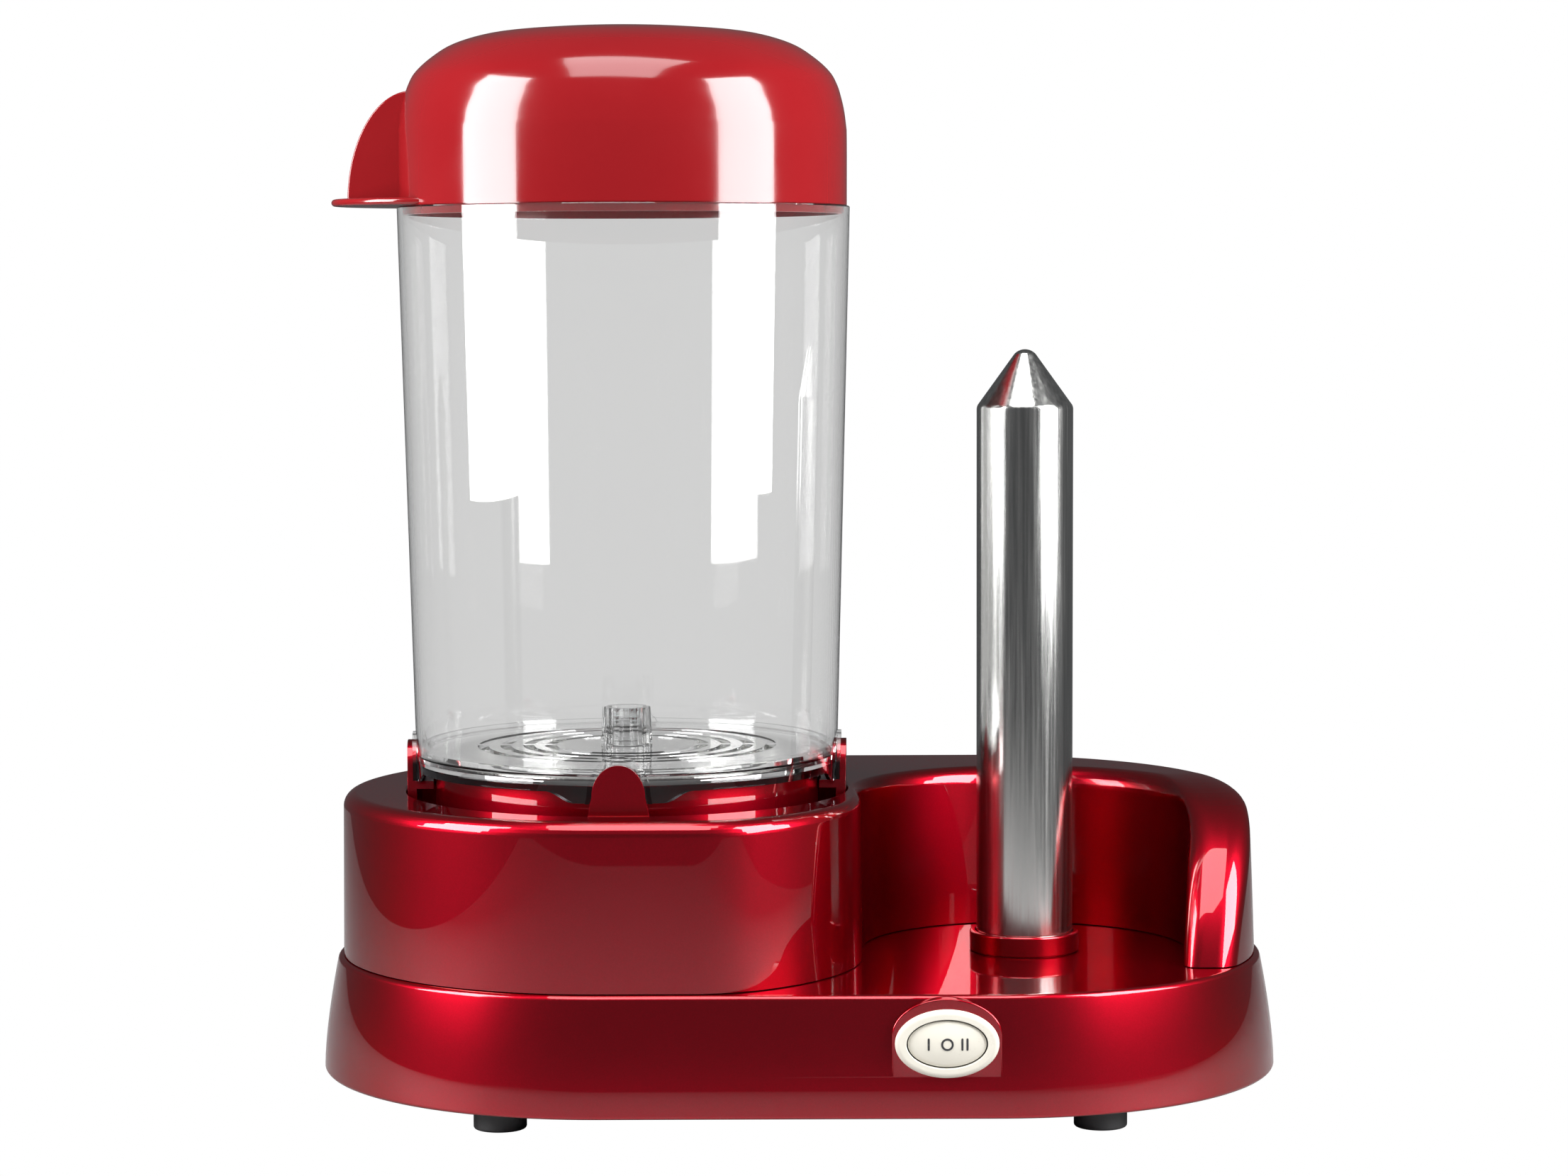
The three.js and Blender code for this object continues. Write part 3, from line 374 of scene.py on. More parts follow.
def candy_lacquer():
    """Dark red metallic lacquer under a clear coat, with fine flakes."""
    paint = Paint(
        "candy_lacquer",
        Metallic=0.97,
        Specular_Tint=(0.3, 0.06, 0.08, 1),
        Coat_Weight=0.95,
        Coat_Roughness=0.015,
    )
    flakes = paint.noise(2600, 2.0)
    clouds = paint.noise(14, 2.0)
    sparkle = paint.ranged(flakes, 0.35, 0.7, 0, 1)
    deep = (0.29, 0.0016, 0.009, 1)
    bright = (0.38, 0.002, 0.012, 1)
    paint.varies(
        Base_Color=paint.mixed(sparkle * 0.7 + clouds * 0.3, deep, bright),
        Roughness=paint.ranged(flakes * 0.6 + clouds * 0.4, 0.3, 0.7, 0.31, 0.34),
    )
    paint.bump(flakes, 0.02, 0.0001)
    return paint.material


def lid_plastic():
    """Solid glossy red plastic."""
    paint = Paint("lid_plastic", Coat_Weight=0.25, Coat_Roughness=0.02)
    handled = paint.noise(24, 4.0)
    grain = paint.noise(1400, 2.0)
    paint.varies(
        Base_Color=paint.mixed(handled, (0.165, 0.004, 0.006, 1), (0.185, 0.006, 0.008, 1)),
        Roughness=paint.ranged(handled, 0.35, 0.65, 0.09, 0.16),
    )
    paint.bump(grain, 0.03, 0.0001)
    return paint.material


def clear_plastic(name, colour, roughness, painted_shade_below=None):
    """Clear moulded plastic with faint handling marks, and with painted shade below a height."""
    paint = Paint(name, IOR=1.46, Transmission_Weight=1.0)
    handled = paint.noise(40, 4.0)
    shade = paint.mixed(handled, colour, tuple(0.985 * c for c in colour[:3]) + (1,))
    if painted_shade_below is not None:
        # Painted shade: below the given height the clear plastic fades to dark grey, standing in
        # for the shadow in the well around the container's foot
        height = paint.add("ShaderNodeSeparateXYZ", None, {"Vector": paint.place()}, "Z")
        start = (painted_shade_below + PAINTED_SHADE_FADE) * MM
        end = (painted_shade_below - PAINTED_SHADE_FADE) * MM
        painted_shade_share = paint.ranged(height, start, end, 0, 1)
        shade = paint.mixed(painted_shade_share, shade, (0.12, 0.11, 0.12, 1))
    paint.varies(
        Base_Color=shade,
        Roughness=paint.ranged(handled, 0.3, 0.7, roughness, roughness * 2.5),
    )
    return paint.material


def polished_steel():
    """Polished stainless steel with a fine grain along its length."""
    paint = Paint("polished_steel", Metallic=1.0)
    grain = paint.noise(900, 3.0, 0.6, (1, 1, 0.02))
    waves = paint.noise(30, 2.0, 0.5, (1, 1, 0.12))
    paint.varies(
        Base_Color=paint.mixed(grain, (0.5, 0.5, 0.49, 1), (0.74, 0.74, 0.72, 1)),
        Roughness=paint.ranged(grain, 0.3, 0.7, 0.13, 0.24),
    )
    paint.bump(waves * 0.8 + grain * 0.2, 0.2, 0.0006)
    return paint.material


def plain_metal(name, dark, light, roughness):
    """Bare metal with a fine mottle."""
    paint = Paint(name, Metallic=0.9)
    grain = paint.noise(500, 4.0)
    paint.varies(
        Base_Color=paint.mixed(grain, dark, light),
        Roughness=paint.ranged(grain, 0.3, 0.7, roughness, roughness + 0.15),
    )
    paint.bump(grain, 0.1, 0.0002)
    return paint.material


def moulded_plastic(name, dark, light, roughness, grain_depth):
    """Plastic, rubber or ceramic with the grain of its mould."""
    paint = Paint(name)
    grain = paint.noise(1500, 3.0)
    shade = paint.noise(60, 3.0)
    paint.varies(
        Base_Color=paint.mixed(shade, dark, light),
        Roughness=paint.ranged(shade * 0.5 + grain * 0.5, 0.3, 0.7, roughness, roughness + 0.1),
    )
    paint.bump(grain, grain_depth, 0.0002)
    return paint.material


# Mesh work


def mesh_of(name, points, faces):
    """A mesh object from points in millimetres."""
    mesh = bpy.data.meshes.new(name)
    mesh.from_pydata([Vector(p) * MM for p in points], [], faces)
    obj = bpy.data.objects.new(name, mesh)
    bpy.context.scene.collection.objects.link(obj)
    return obj


def loft(name, levels):
    """A closed form through outlines of equal length: a list of (height, outline)."""
    count = len(levels[0][1])
    points = [(x, y, z) for z, outline in levels for x, y in outline]
    faces = []
    for k in range(len(levels) - 1):
        for i in range(count):
            a = k * count + i
            b = k * count + (i + 1) % count
            faces.append((a, b, b + count, a + count))
    faces.append(tuple(reversed(range(count))))
    faces.append(tuple(range((len(levels) - 1) * count, len(levels) * count)))
    return mesh_of(name, points, faces)


def prism(name, outline, start, end):
    return loft(name, [(start, outline), (end, outline)])


def area(profile):
    pairs = zip(profile, profile[1:] + profile[:1])
    return sum(a[0] * b[1] - b[0] * a[1] for a, b in pairs)


def turned(name, profile, steps=128):
    """A form turned about the vertical axis, from a closed (radius, height) profile."""
    if area(profile) < 0:
        profile = profile[::-1]
    points = []
    rings = []
    for radius, height in profile:
        if radius == 0:
            rings.append([len(points)] * steps)
            points.append((0, 0, height))
            continue
        rings.append(list(range(len(points), len(points) + steps)))
        for i in range(steps):
            angle = TURN * i / steps
            points.append((radius * math.cos(angle), radius * math.sin(angle), height))
    faces = []
    for ring, following in zip(rings, rings[1:] + rings[:1]):
        for i in range(steps):
            j = (i + 1) % steps
            corners = [ring[i], ring[j], following[j], following[i]]
            face = list(dict.fromkeys(corners))
            if len(face) > 2:
                faces.append(tuple(face))
    return mesh_of(name, points, faces)


def moved(obj, x=0.0, y=0.0, z=0.0):
    obj.data.transform(Matrix.Translation(Vector((x, y, z)) * MM))
    return obj


def spun(obj, degrees, axis="Z"):
    obj.data.transform(Matrix.Rotation(math.radians(degrees), 4, axis))
    return obj


def upright(name, outline, start, end):
    """A prism whose outline is drawn in x and height, from one y to another."""
    return spun(prism(name, outline, -end, -start), 90, "X")


def copied(obj):
    twin = bpy.data.objects.new(obj.name + "_twin", obj.data.copy())
    bpy.context.scene.collection.objects.link(twin)
    return twin


def baked(obj):
    """The object with its modifiers applied."""
    graph = bpy.context.evaluated_depsgraph_get()
    mesh = bpy.data.meshes.new_from_object(obj.evaluated_get(graph))
    obj.modifiers.clear()
    old = obj.data
    obj.data = mesh
    bpy.data.meshes.remove(old)
    return obj


def combine(target, operation, *tools):
    for tool in tools:
        step = target.modifiers.new("combine", "BOOLEAN")
        step.operation = operation
        step.object = tool
        step.solver = "EXACT"
        baked(target)
        bpy.data.objects.remove(tool)
    return target


def cut(target, *tools):
    return combine(target, "DIFFERENCE", *tools)


def joined(target, *tools):
    return combine(target, "UNION", *tools)


def common(target, *tools):
    return combine(target, "INTERSECT", *tools)


def smooth(obj, sharp=SHARP):
    """Smooth shading with crisp edges where the surface turns sharply."""
    work = bmesh.new()
    work.from_mesh(obj.data)
    bmesh.ops.remove_doubles(work, verts=work.verts, dist=0.002 * MM)
    bmesh.ops.recalc_face_normals(work, faces=work.faces)
    for face in work.faces:
        face.smooth = True
    for edge in work.edges:
        edge.smooth = len(edge.link_faces) == 2 and edge.calc_face_angle(0) < sharp
    work.to_mesh(obj.data)
    work.free()
    weigh = obj.modifiers.new("weighted normals", "WEIGHTED_NORMAL")
    weigh.keep_sharp = True
    weigh.weight = 60
    return obj


def rounded(obj, width, segments=3, angle=35):
    """Small rounds on the sharp edges."""
    bevel = obj.modifiers.new("edge rounds", "BEVEL")
    bevel.width = width * MM
    bevel.segments = segments
    bevel.limit_method = "ANGLE"
    bevel.angle_limit = math.radians(angle)
    bevel.use_clamp_overlap = True
    return baked(obj)


def dressed(obj, name, paint, slot, body, *nodes):
    """Names a piece, paints it and sets it on its body in place of its nodes."""
    obj.name = name
    obj.data.name = name
    obj.data.materials.clear()
    obj.data.materials.append(paint)
    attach(obj, body)
    if nodes:
        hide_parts(*nodes)
    return obj


# Outlines


def ellipse_arc(x, y, a, b, start, end, steps):
    angles = [start + (end - start) * i / steps for i in range(steps + 1)]
    return [(x + a * math.cos(t), y + b * math.sin(t)) for t in angles]


def arc(x, y, radius, start, end, steps):
    return ellipse_arc(x, y, radius, radius, start, end, steps)


def ellipse(a, b, steps=96):
    return ellipse_arc(0, 0, a, b, 0, TURN, steps)[:-1]


def circle(x, y, radius, steps=64):
    return arc(x, y, radius, 0, TURN, steps)[:-1]


def inset(outline, distances):
    """An outline moved inwards along its normals."""
    moved_points = []
    for i, point in enumerate(outline):
        p = Vector(point)
        first = (p - Vector(outline[i - 1])).normalized()
        second = (Vector(outline[(i + 1) % len(outline)]) - p).normalized()
        inward = Vector((-first.y - second.y, first.x + second.x))
        distance = distances[i] if isinstance(distances, list) else distances
        moved_points.append(tuple(p + inward * (2 * distance / inward.length_squared)))
    return moved_points


def stadium(radius, steps=64):
    right = arc(END_X, 0, radius, -QUARTER, QUARTER, steps)
    left = arc(-END_X, 0, radius, QUARTER, 3 * QUARTER, steps)
    return right + left


def edge_inset(radius, top, z):
    """How far a rounded upper edge has drawn in at a height."""
    climbed = min(max(z - (top - radius), 0), radius)
    return radius - math.sqrt(radius * radius - climbed * climbed)


def quarter_round(steps):
    """How far in and how far down an edge is, from its side to its top, in shares."""
    angles = [QUARTER * i / steps for i in range(steps + 1)]
    return [(1 - math.cos(angle), 1 - math.sin(angle)) for angle in angles]


def round_heights(radius, top, steps):
    """The heights at which a rounded upper edge is drawn, without its top."""
    return [top - radius * (1 - math.sin(QUARTER * i / steps)) for i in range(steps)]


# Base pieces


def skirt_radius(z):
    start = FOOT_TOP + LOWER_EDGE
    share = max(z - start, 0) / (DECK - start)
    return BASE_R - SKIRT_LEAN * share**SKIRT_BEND - edge_inset(DECK_EDGE, DECK, z)


def switch_pad():
    outline = [(SWITCH_X - PAD_HALF, PAD_FOOT), (SWITCH_X + PAD_HALF, PAD_FOOT)]
    outline += ellipse_arc(SWITCH_X, PAD_SPRING, PAD_HALF, PAD_ARCH, 0, math.pi, 48)
    levels = [(PAD_FRONT - 2 * WALL, outline)]
    for inwards, down in quarter_round(ROUND_STEPS):
        levels.append((PAD_FRONT - PAD_EDGE * down, inset(outline, PAD_EDGE * inwards)))
    return spun(loft("pad", levels), 90, "X")


def plinth_shell():
    """The flared skirt and the deck, hollow from below."""
    start = FOOT_TOP + LOWER_EDGE
    steps = 12
    heights = [start + (DECK - DECK_EDGE - start) * i / steps for i in range(steps)]
    heights += round_heights(DECK_EDGE, DECK, ROUND_STEPS) + [DECK]
    levels = []
    for rise, drawn_in in quarter_round(ROUND_STEPS)[:-1]:
        outline = stadium(BASE_R - LOWER_EDGE * drawn_in)
        levels.append((FOOT_TOP + LOWER_EDGE * rise, outline))
    levels += [(z, stadium(skirt_radius(z))) for z in heights]
    outside = loft("plinth_skin", levels)
    foot = stadium(BASE_R - LOWER_EDGE - WALL)
    ceiling = stadium(skirt_radius(DECK_UNDER) - WALL)
    inside = [(FOOT_TOP - OVERRUN, foot), (start, foot), (DECK_UNDER, ceiling)]
    return cut(outside, loft("plinth_hollow", inside))


def make_plinth(paint):
    gland_disc = circle(GLAND_X, GLAND_Z, GLAND_PAD_R)
    gland_pad = upright("gland_pad", gland_disc, PAD_FRONT - 2 * WALL, PAD_FRONT)
    body = joined(plinth_shell(), switch_pad(), gland_pad)
    half_width = BEZEL_A - WALL + GAP
    half_height = BEZEL_B - WALL + GAP
    opening = ellipse_arc(SWITCH_X, SWITCH_Z, half_width, half_height, 0, TURN, 64)[:-1]
    socket = upright("socket", opening, -BASE_R - OVERRUN, -PAD_FRONT + 3 * WALL)
    gland_bore = circle(GLAND_X, GLAND_Z, GLAND_HOLE_R)
    gland_hole = upright("gland_hole", gland_bore, PAD_FRONT - 3 * WALL, BASE_R + OVERRUN)
    cut(body, socket, gland_hole)
    spike_bore = circle(SPIKE_X, SPIKE_Y, SPIKE_R + SPIKE_HOLE_PLAY)
    for bore in (circle(DRUM_X, 0, WIRING_R), spike_bore):
        cut(body, prism("bore", bore, DECK_UNDER - OVERRUN, DECK + OVERRUN))
    dressed(smooth(body), "plinth_moulding", paint, "candy_red", "base", "plinth")


def arm_front(z, top):
    """How far forward the arm reaches: one long curve from its foot to the housing's top."""
    foot = edge_inset(ARM_CURVE, HOUSING_TOP, HOUSING_FOOT)
    return ARM_FRONT - foot + edge_inset(ARM_CURVE, top, z)


def arm_inner_corner(front, radius):
    """Where the arm's inner corner has its middle, the alcove's turn to it and the lean there."""
    y = front + radius
    ahead = ALCOVE_Y - y
    lean = ARM_LEAN * min(max(ahead / ARM_LEAN_END, 0), 1)
    if ahead > 0:
        x = ALCOVE_X + ALCOVE_R - lean * ahead + radius * math.hypot(1, lean)
        return x, y, 0, lean
    x = ALCOVE_X + math.sqrt((ALCOVE_R + radius) ** 2 - ahead**2)
    return x, y, math.atan2(-ahead, x - ALCOVE_X), lean


def housing_runs(front, share):
    """The outline's arcs, each with the upper edge's radius and the draft at its two ends."""
    flank_x = ALCOVE_X - ALCOVE_R - GAP - FLANK_R
    reach = FLANK_R - SHOULDER_R
    shoulder_y = -HOUSING_R + SHOULDER_R
    shoulder_x = flank_x + math.sqrt(reach**2 - (shoulder_y - FLANK_Y) ** 2)
    meet = math.atan2(shoulder_y - FLANK_Y, shoulder_x - flank_x)
    inner = ARM_INNER + ARM_INNER_GROWTH * share
    inner_x, inner_y, turn, lean = arm_inner_corner(front, inner)
    stop = turn + ALCOVE_END_TURN
    start = math.pi + turn - math.atan(lean) + CORNER_START_TURN
    outer = ARM_OUTER + ARM_OUTER_GROWTH * share
    outer_y = front + outer
    outer_x = END_X + math.sqrt((HOUSING_R - outer) ** 2 - outer_y**2)
    leave = math.atan2(outer_y, outer_x - END_X)

    shoulder = arc(shoulder_x, shoulder_y, SHOULDER_R, -QUARTER, meet, 14)
    flank = arc(flank_x, FLANK_Y, FLANK_R, meet, 0, 26)
    alcove_left = arc(ALCOVE_X, ALCOVE_Y, ALCOVE_R, math.pi, QUARTER, 36)
    alcove_right = arc(ALCOVE_X, ALCOVE_Y, ALCOVE_R, QUARTER, stop, 36)
    inner_corner = arc(inner_x, inner_y, inner, start, 3 * QUARTER, 12)
    outer_corner = arc(outer_x, outer_y, outer, -QUARTER, leave, 16)
    right_end = arc(END_X, 0, HOUSING_R, leave, QUARTER, 48)
    left_end = arc(-END_X, 0, HOUSING_R, QUARTER, 3 * QUARTER, 64)
    return [
        (shoulder, (OUTER_EDGE, OUTER_EDGE), (DRAFT, DRAFT)),
        (flank, (OUTER_EDGE, SIDE_EDGE), (DRAFT, DRAFT)),
        (alcove_left, (SIDE_EDGE, REAR_EDGE), (ALCOVE_DRAFT, ALCOVE_DRAFT)),
        (alcove_right, (REAR_EDGE, ARM_EDGE), (ALCOVE_DRAFT, ALCOVE_DRAFT)),
        (inner_corner, (ARM_EDGE, ARM_EDGE), (ALCOVE_DRAFT, ALCOVE_DRAFT)),
        (outer_corner, (ARM_EDGE, ARM_OUTER_EDGE), (ALCOVE_DRAFT, ARM_DRAFT)),
        (right_end, (ARM_OUTER_EDGE, OUTER_EDGE), (ARM_DRAFT, DRAFT)),
        (left_end, (OUTER_EDGE, OUTER_EDGE), (DRAFT, DRAFT)),
    ]


def between(ends, share):
    return ends[0] + (ends[1] - ends[0]) * share


def housing_plan(front, share):
    """The outline, and at each point the upper edge's radius and the draft."""
    plan = []
    for run, edges, drafts in housing_runs(front, share):
        for i, point in enumerate(run):
            if plan and (Vector(plan[-1][0]) - Vector(point)).length < GAP / 10:
                continue
            along = i / (len(run) - 1)
            plan.append((point, between(edges, along), between(drafts, along)))
    return plan


def housing_outline(z, thickness):
    """The housing's outline at a height, or that of its hollow for a wall's thickness."""
    top = HOUSING_TOP - thickness
    share = (z - HOUSING_FOOT) / (HOUSING_TOP - HOUSING_FOOT)
    plan = housing_plan(arm_front(z, top), min(max(share, 0), 1))
    distances = []
    for _, edge, draft in plan:
        upper_edge = edge_inset(max(edge - thickness / 2, GAP), top, z)
        distances.append(thickness + draft * share + upper_edge)
    return inset([point for point, _, _ in plan], distances)


def make_housing(paint):
    heights = [z for z in round_heights(ARM_CURVE, HOUSING_TOP, 40) if z > HOUSING_FOOT + 1]
    heights += round_heights(ARM_OUTER_EDGE, HOUSING_TOP, SOFT_STEPS)
    heights += round_heights(OUTER_EDGE, HOUSING_TOP, ROUND_STEPS)
    heights += round_heights(SIDE_EDGE, HOUSING_TOP, ROUND_STEPS)[1:]
    heights = sorted({round(z, 2) for z in heights} | {HOUSING_FOOT, HOUSING_TOP})
    outside = loft("housing_skin", [(z, housing_outline(z, 0)) for z in heights])
    ceiling = HOUSING_TOP - WALL
    inner = [HOUSING_FOOT - OVERRUN, HOUSING_FOOT]
    inner += [z for z in round_heights(ARM_CURVE, ceiling, 20) if HOUSING_FOOT < z < ceiling - GAP]
    hollow = loft("housing_hollow", [(z, housing_outline(z, WALL)) for z in inner])
    bore = UPSTAND_R - WALL
    below = GUTTER - WALL - OVERRUN
    outer = WELL_R + WALL
    under_top = HOUSING_TOP - WALL / 2
    mouth = [(0, below), (bore, below), (bore, GUTTER), (WELL_R, GUTTER)]
    well = [(outer, GUTTER - WALL), (outer, under_top), (WELL_R, under_top)]
    well += [(WELL_R, GUTTER), (UPSTAND_R, GUTTER)]
    for inwards, down in quarter_round(4):
        mouth.append((WELL_R + WELL_EDGE * inwards, HOUSING_TOP - WELL_EDGE * down))
        well.append((UPSTAND_R - WELL_EDGE * inwards, UPSTAND_TOP - WELL_EDGE * down))
    mouth += [(WELL_R + WELL_EDGE, HOUSING_TOP + OVERRUN), (0, HOUSING_TOP + OVERRUN)]
    well += [(bore, UPSTAND_TOP), (bore, GUTTER - WALL)]
    body = cut(outside, hollow, moved(turned("mouth", mouth), DRUM_X))
    joined(body, moved(turned("well", well), DRUM_X))
    dressed(smooth(body), "housing_moulding", paint, "candy_red", "base", "housing")


def arch_outline(grow, top, steps=40):
    """The front view of a clip, or of a lug that stands round it."""
    outline = [(-CLIP_HALF - grow, GUTTER - OVERRUN), (CLIP_HALF + grow, GUTTER - OVERRUN)]
    outline.append((CLIP_HALF + grow, HOUSING_TOP))
    outline += ellipse_arc(0, CLIP_SPRING, CLIP_NECK + grow, top - CLIP_SPRING, 0, math.pi, steps)
    outline.append((-CLIP_HALF - grow, HOUSING_TOP))
    return outline


def make_clips(paint):
    inner = CLIP_OUTER - CLIP_THICK
    bar_inner = UPSTAND_R + 2 * GAP
    foot = GUTTER + GAP
    section = [
        (CLIP_OUTER, foot),
        (CLIP_OUTER, CLIP_TOP + OVERRUN),
        (inner, CLIP_TOP + OVERRUN),
        (inner, CLIP_BAR_TOP),
        (bar_inner, CLIP_BAR_TOP),
        (bar_inner, CLIP_BAR_TOP - CLIP_BAR),
        (inner, CLIP_BAR_TOP - CLIP_BAR),
        (inner, foot + WALL),
        (bar_inner, foot + WALL),
        (bar_inner, foot),
    ]
    arch = upright("arch", arch_outline(0, CLIP_TOP), -CLIP_OUTER - OVERRUN, -bar_inner / 2)
    clip = common(turned("clip", section, 256), arch)
    clip = rounded(clip, CLIP_ROUND, 4)
    for i, side in enumerate(("front", "right", "rear", "left")):
        piece = copied(clip)
        moved(spun(piece, 360 * i / CLIP_COUNT), DRUM_X)
        name = "clip_arch_" + side
        dressed(smooth(piece), name, paint, "candy_red", "base", "clip_" + side)
    bpy.data.objects.remove(clip)


# Container, tray and lid


def container_radius(z):
    share = (z - CONTAINER_FOOT) / (CONTAINER_TOP - CONTAINER_FOOT)
    return FOOT_R + (RIM_R - FOOT_R) * share


def skirt_gap():
    """What is cut from the container's foot between two clips, with eased ends."""

    def chord(distance):
        return FOOT_R * math.sin(math.pi / CLIP_COUNT - distance / FOOT_R)

    steps = 24
    slope = []
    for i in range(steps + 1):
        share = i / steps
        rise = TAB_DROP * (0.5 - 0.5 * math.cos(math.pi * share))
        slope.append((chord(TAB_WIDTH / 2 + TAB_SLOPE * share), CONTAINER_FOOT + rise))
    foot = CONTAINER_FOOT - OVERRUN
    outline = [(-chord(TAB_WIDTH / 2), foot), (chord(TAB_WIDTH / 2), foot)]
    outline += slope + [(-x, z) for x, z in reversed(slope)]
    return upright("gap", outline, -RIM_R - OVERRUN, -FOOT_R / 2)


def clear_lugs():
    """The lugs that stand round the clips."""
    inner, outer = FOOT_R - GLASS / 2, FOOT_R + LUG_DEPTH
    over = CLIP_TOP + LUG_TOP + OVERRUN
    profile = [(inner, CONTAINER_FOOT), (outer, CONTAINER_FOOT), (outer, over), (inner, over)]
    ring = turned("lug_ring", profile, FINE_TURN)
    outside = arch_outline(LUG_GAP + LUG, CLIP_TOP + LUG_TOP)
    inside = arch_outline(LUG_GAP, CLIP_TOP + LUG_TOP - LUG)
    lug = cut(
        upright("lug", outside, -RIM_R - OVERRUN, -CLIP_HALF),
        upright("lug_inside", inside, -RIM_R - 2 * OVERRUN, -CLIP_HALF / 2),
    )
    common(lug, ring)
    lugs = [spun(copied(lug), 360 * i / CLIP_COUNT) for i in range(CLIP_COUNT)]
    bpy.data.objects.remove(lug)
    return lugs


def make_container(paint):
    ledge = container_radius(LEDGE_TOP) - GLASS
    profile = [
        (FOOT_R, CONTAINER_FOOT),
        (RIM_R, CONTAINER_TOP - RIM_EDGE),
        (RIM_R - RIM_EDGE, CONTAINER_TOP),
        (RIM_R - GLASS + RIM_EDGE, CONTAINER_TOP),
        (RIM_R - GLASS, CONTAINER_TOP - RIM_EDGE),
        (ledge, LEDGE_TOP + LEDGE_EDGE),
        (ledge - LEDGE_EDGE, LEDGE_TOP),
        (ledge - LEDGE_REACH, LEDGE_TOP),
        (ledge - LEDGE_REACH, LEDGE_TOP - LEDGE),
        (ledge, LEDGE_TOP - 2 * LEDGE),
        (FOOT_R - GLASS, CONTAINER_FOOT),
    ]
    tube = turned("container", profile, FINE_TURN)
    joined(tube, *clear_lugs())
    cut(tube, *[spun(skirt_gap(), 360 * (i + 0.5) / CLIP_COUNT) for i in range(CLIP_COUNT)])
    tube = smooth(moved(tube, DRUM_X))
    dressed(tube, "container_tube", paint, "clear_plastic", "container", "container")


def fluted(radius, steps=12):
    """A round outline with flutes, with so many points to a flute."""
    outline = []
    for i in range(FLUTES * steps):
        angle = TURN * i / (FLUTES * steps)
        reach = radius + FLUTE / 2 * math.cos(FLUTES * angle)
        outline.append((reach * math.cos(angle), reach * math.sin(angle)))
    return outline


def make_tray(paint):
    top = TRAY_FOOT + TRAY_THICK
    profile = [
        (0, TRAY_FOOT),
        (TRAY_R - TRAY_EDGE, TRAY_FOOT),
        (TRAY_R, TRAY_FOOT + TRAY_EDGE),
        (TRAY_R, top + TRAY_RIM),
        (TRAY_R - TRAY_RIM_WIDE, top + TRAY_RIM),
        (TRAY_R - TRAY_RIM_WIDE, top),
        (0, top),
    ]
    plate = turned("tray", profile, FINE_TURN)
    slots = []
    for i in range(SLOT_COUNT):
        middle = SLOT_FIRST + i * SLOT_PITCH
        bridge = math.asin(BRIDGE / 2 / middle)
        outline = arc(0, 0, middle + SLOT / 2, bridge, math.pi - bridge, 48)
        outline += arc(0, 0, middle - SLOT / 2, math.pi - bridge, bridge, 48)
        for turn in (0, 180):
            slots.append(spun(prism("slot", outline, TRAY_FOOT - OVERRUN, top + OVERRUN), turn))
    hub = loft("hub", [(TRAY_FOOT, fluted(HUB_R_FOOT)), (HUB_TOP, fluted(HUB_R_TOP))])
    cut(plate, *slots)
    joined(plate, hub)
    cut(plate, prism("bore", circle(0, 0, HUB_BORE), top, HUB_TOP + OVERRUN))
    tray = rounded(moved(plate, DRUM_X), TRAY_ROUND, 2, 50)
    dressed(smooth(tray), "tray_disc", paint, "clear_plastic", "steam_tray", "steam_tray")


def dome(radius, height, steps=5):
    """The dome's profile, with a smooth curve through its shares."""
    knots = [Vector((radius * a, LID_FOOT + height * b)) for a, b in DOME_SHARES]
    curve = []
    for i in range(len(knots) - 1):
        before = knots[max(i - 1, 0)]
        after = knots[min(i + 2, len(knots) - 1)]
        first = (knots[i + 1] - before) / 6
        second = (after - knots[i]) / 6
        if i <= 1:
            # The wall below the dome stays straight
            first = (knots[i + 1] - knots[i]) / 3
        for k in range(steps):
            t = k / steps
            u = 1 - t
            point = knots[i] * u**3 + (knots[i] + first) * 3 * t * u**2
            point += (knots[i + 1] - second) * 3 * t**2 * u + knots[i + 1] * t**3
            curve.append((max(point.x, 0), point.y))
    curve.append((0, knots[-1].y))
    return curve


def lid_shell():
    """The dome, with the lip that plugs the container."""
    lip_r = RIM_R - GLASS - GAP
    outer = dome(LID_R, LID_TOP - LID_FOOT)
    # The lip takes the place of the inner profile's lowest points
    inner = dome(LID_R - LID_WALL, LID_TOP - LID_FOOT - LID_WALL)[3:]
    lip = [
        (lip_r - LIP_WALL, inner[0][1] - LID_WALL),
        (lip_r - LIP_WALL, LID_FOOT - LIP),
        (lip_r, LID_FOOT - LIP),
        (lip_r, LID_FOOT),
    ]
    return turned("lid", outer + inner[::-1] + lip, FINE_TURN)


def thumb_plate():
    """A thin disc with a full round on its edge, mostly inside the dome."""
    disc = circle(-LID_R - THUMB_REACH + THUMB_R, 0, THUMB_R, 160)
    half = THUMB / 2
    levels = []
    for i in range(SOFT_STEPS + 1):
        angle = -QUARTER + math.pi * i / SOFT_STEPS
        level = LID_FOOT + half + half * math.sin(angle)
        levels.append((level, inset(disc, half * (1 - math.cos(angle)))))
    return loft("thumb", levels)


def upright_fin():
    root = -LID_R + FIN_ROOT
    foot = LID_FOOT + THUMB / 2
    reach = FIN_REACH + FIN_ROOT
    outline = [(root, foot), (root, LID_FOOT + FIN_HEIGHT)]
    outline += ellipse_arc(root, foot, reach, FIN_HEIGHT - THUMB / 2, QUARTER, math.pi, 48)[1:]
    return rounded(upright("fin", outline, -FIN / 2, FIN / 2), FIN_ROUND)


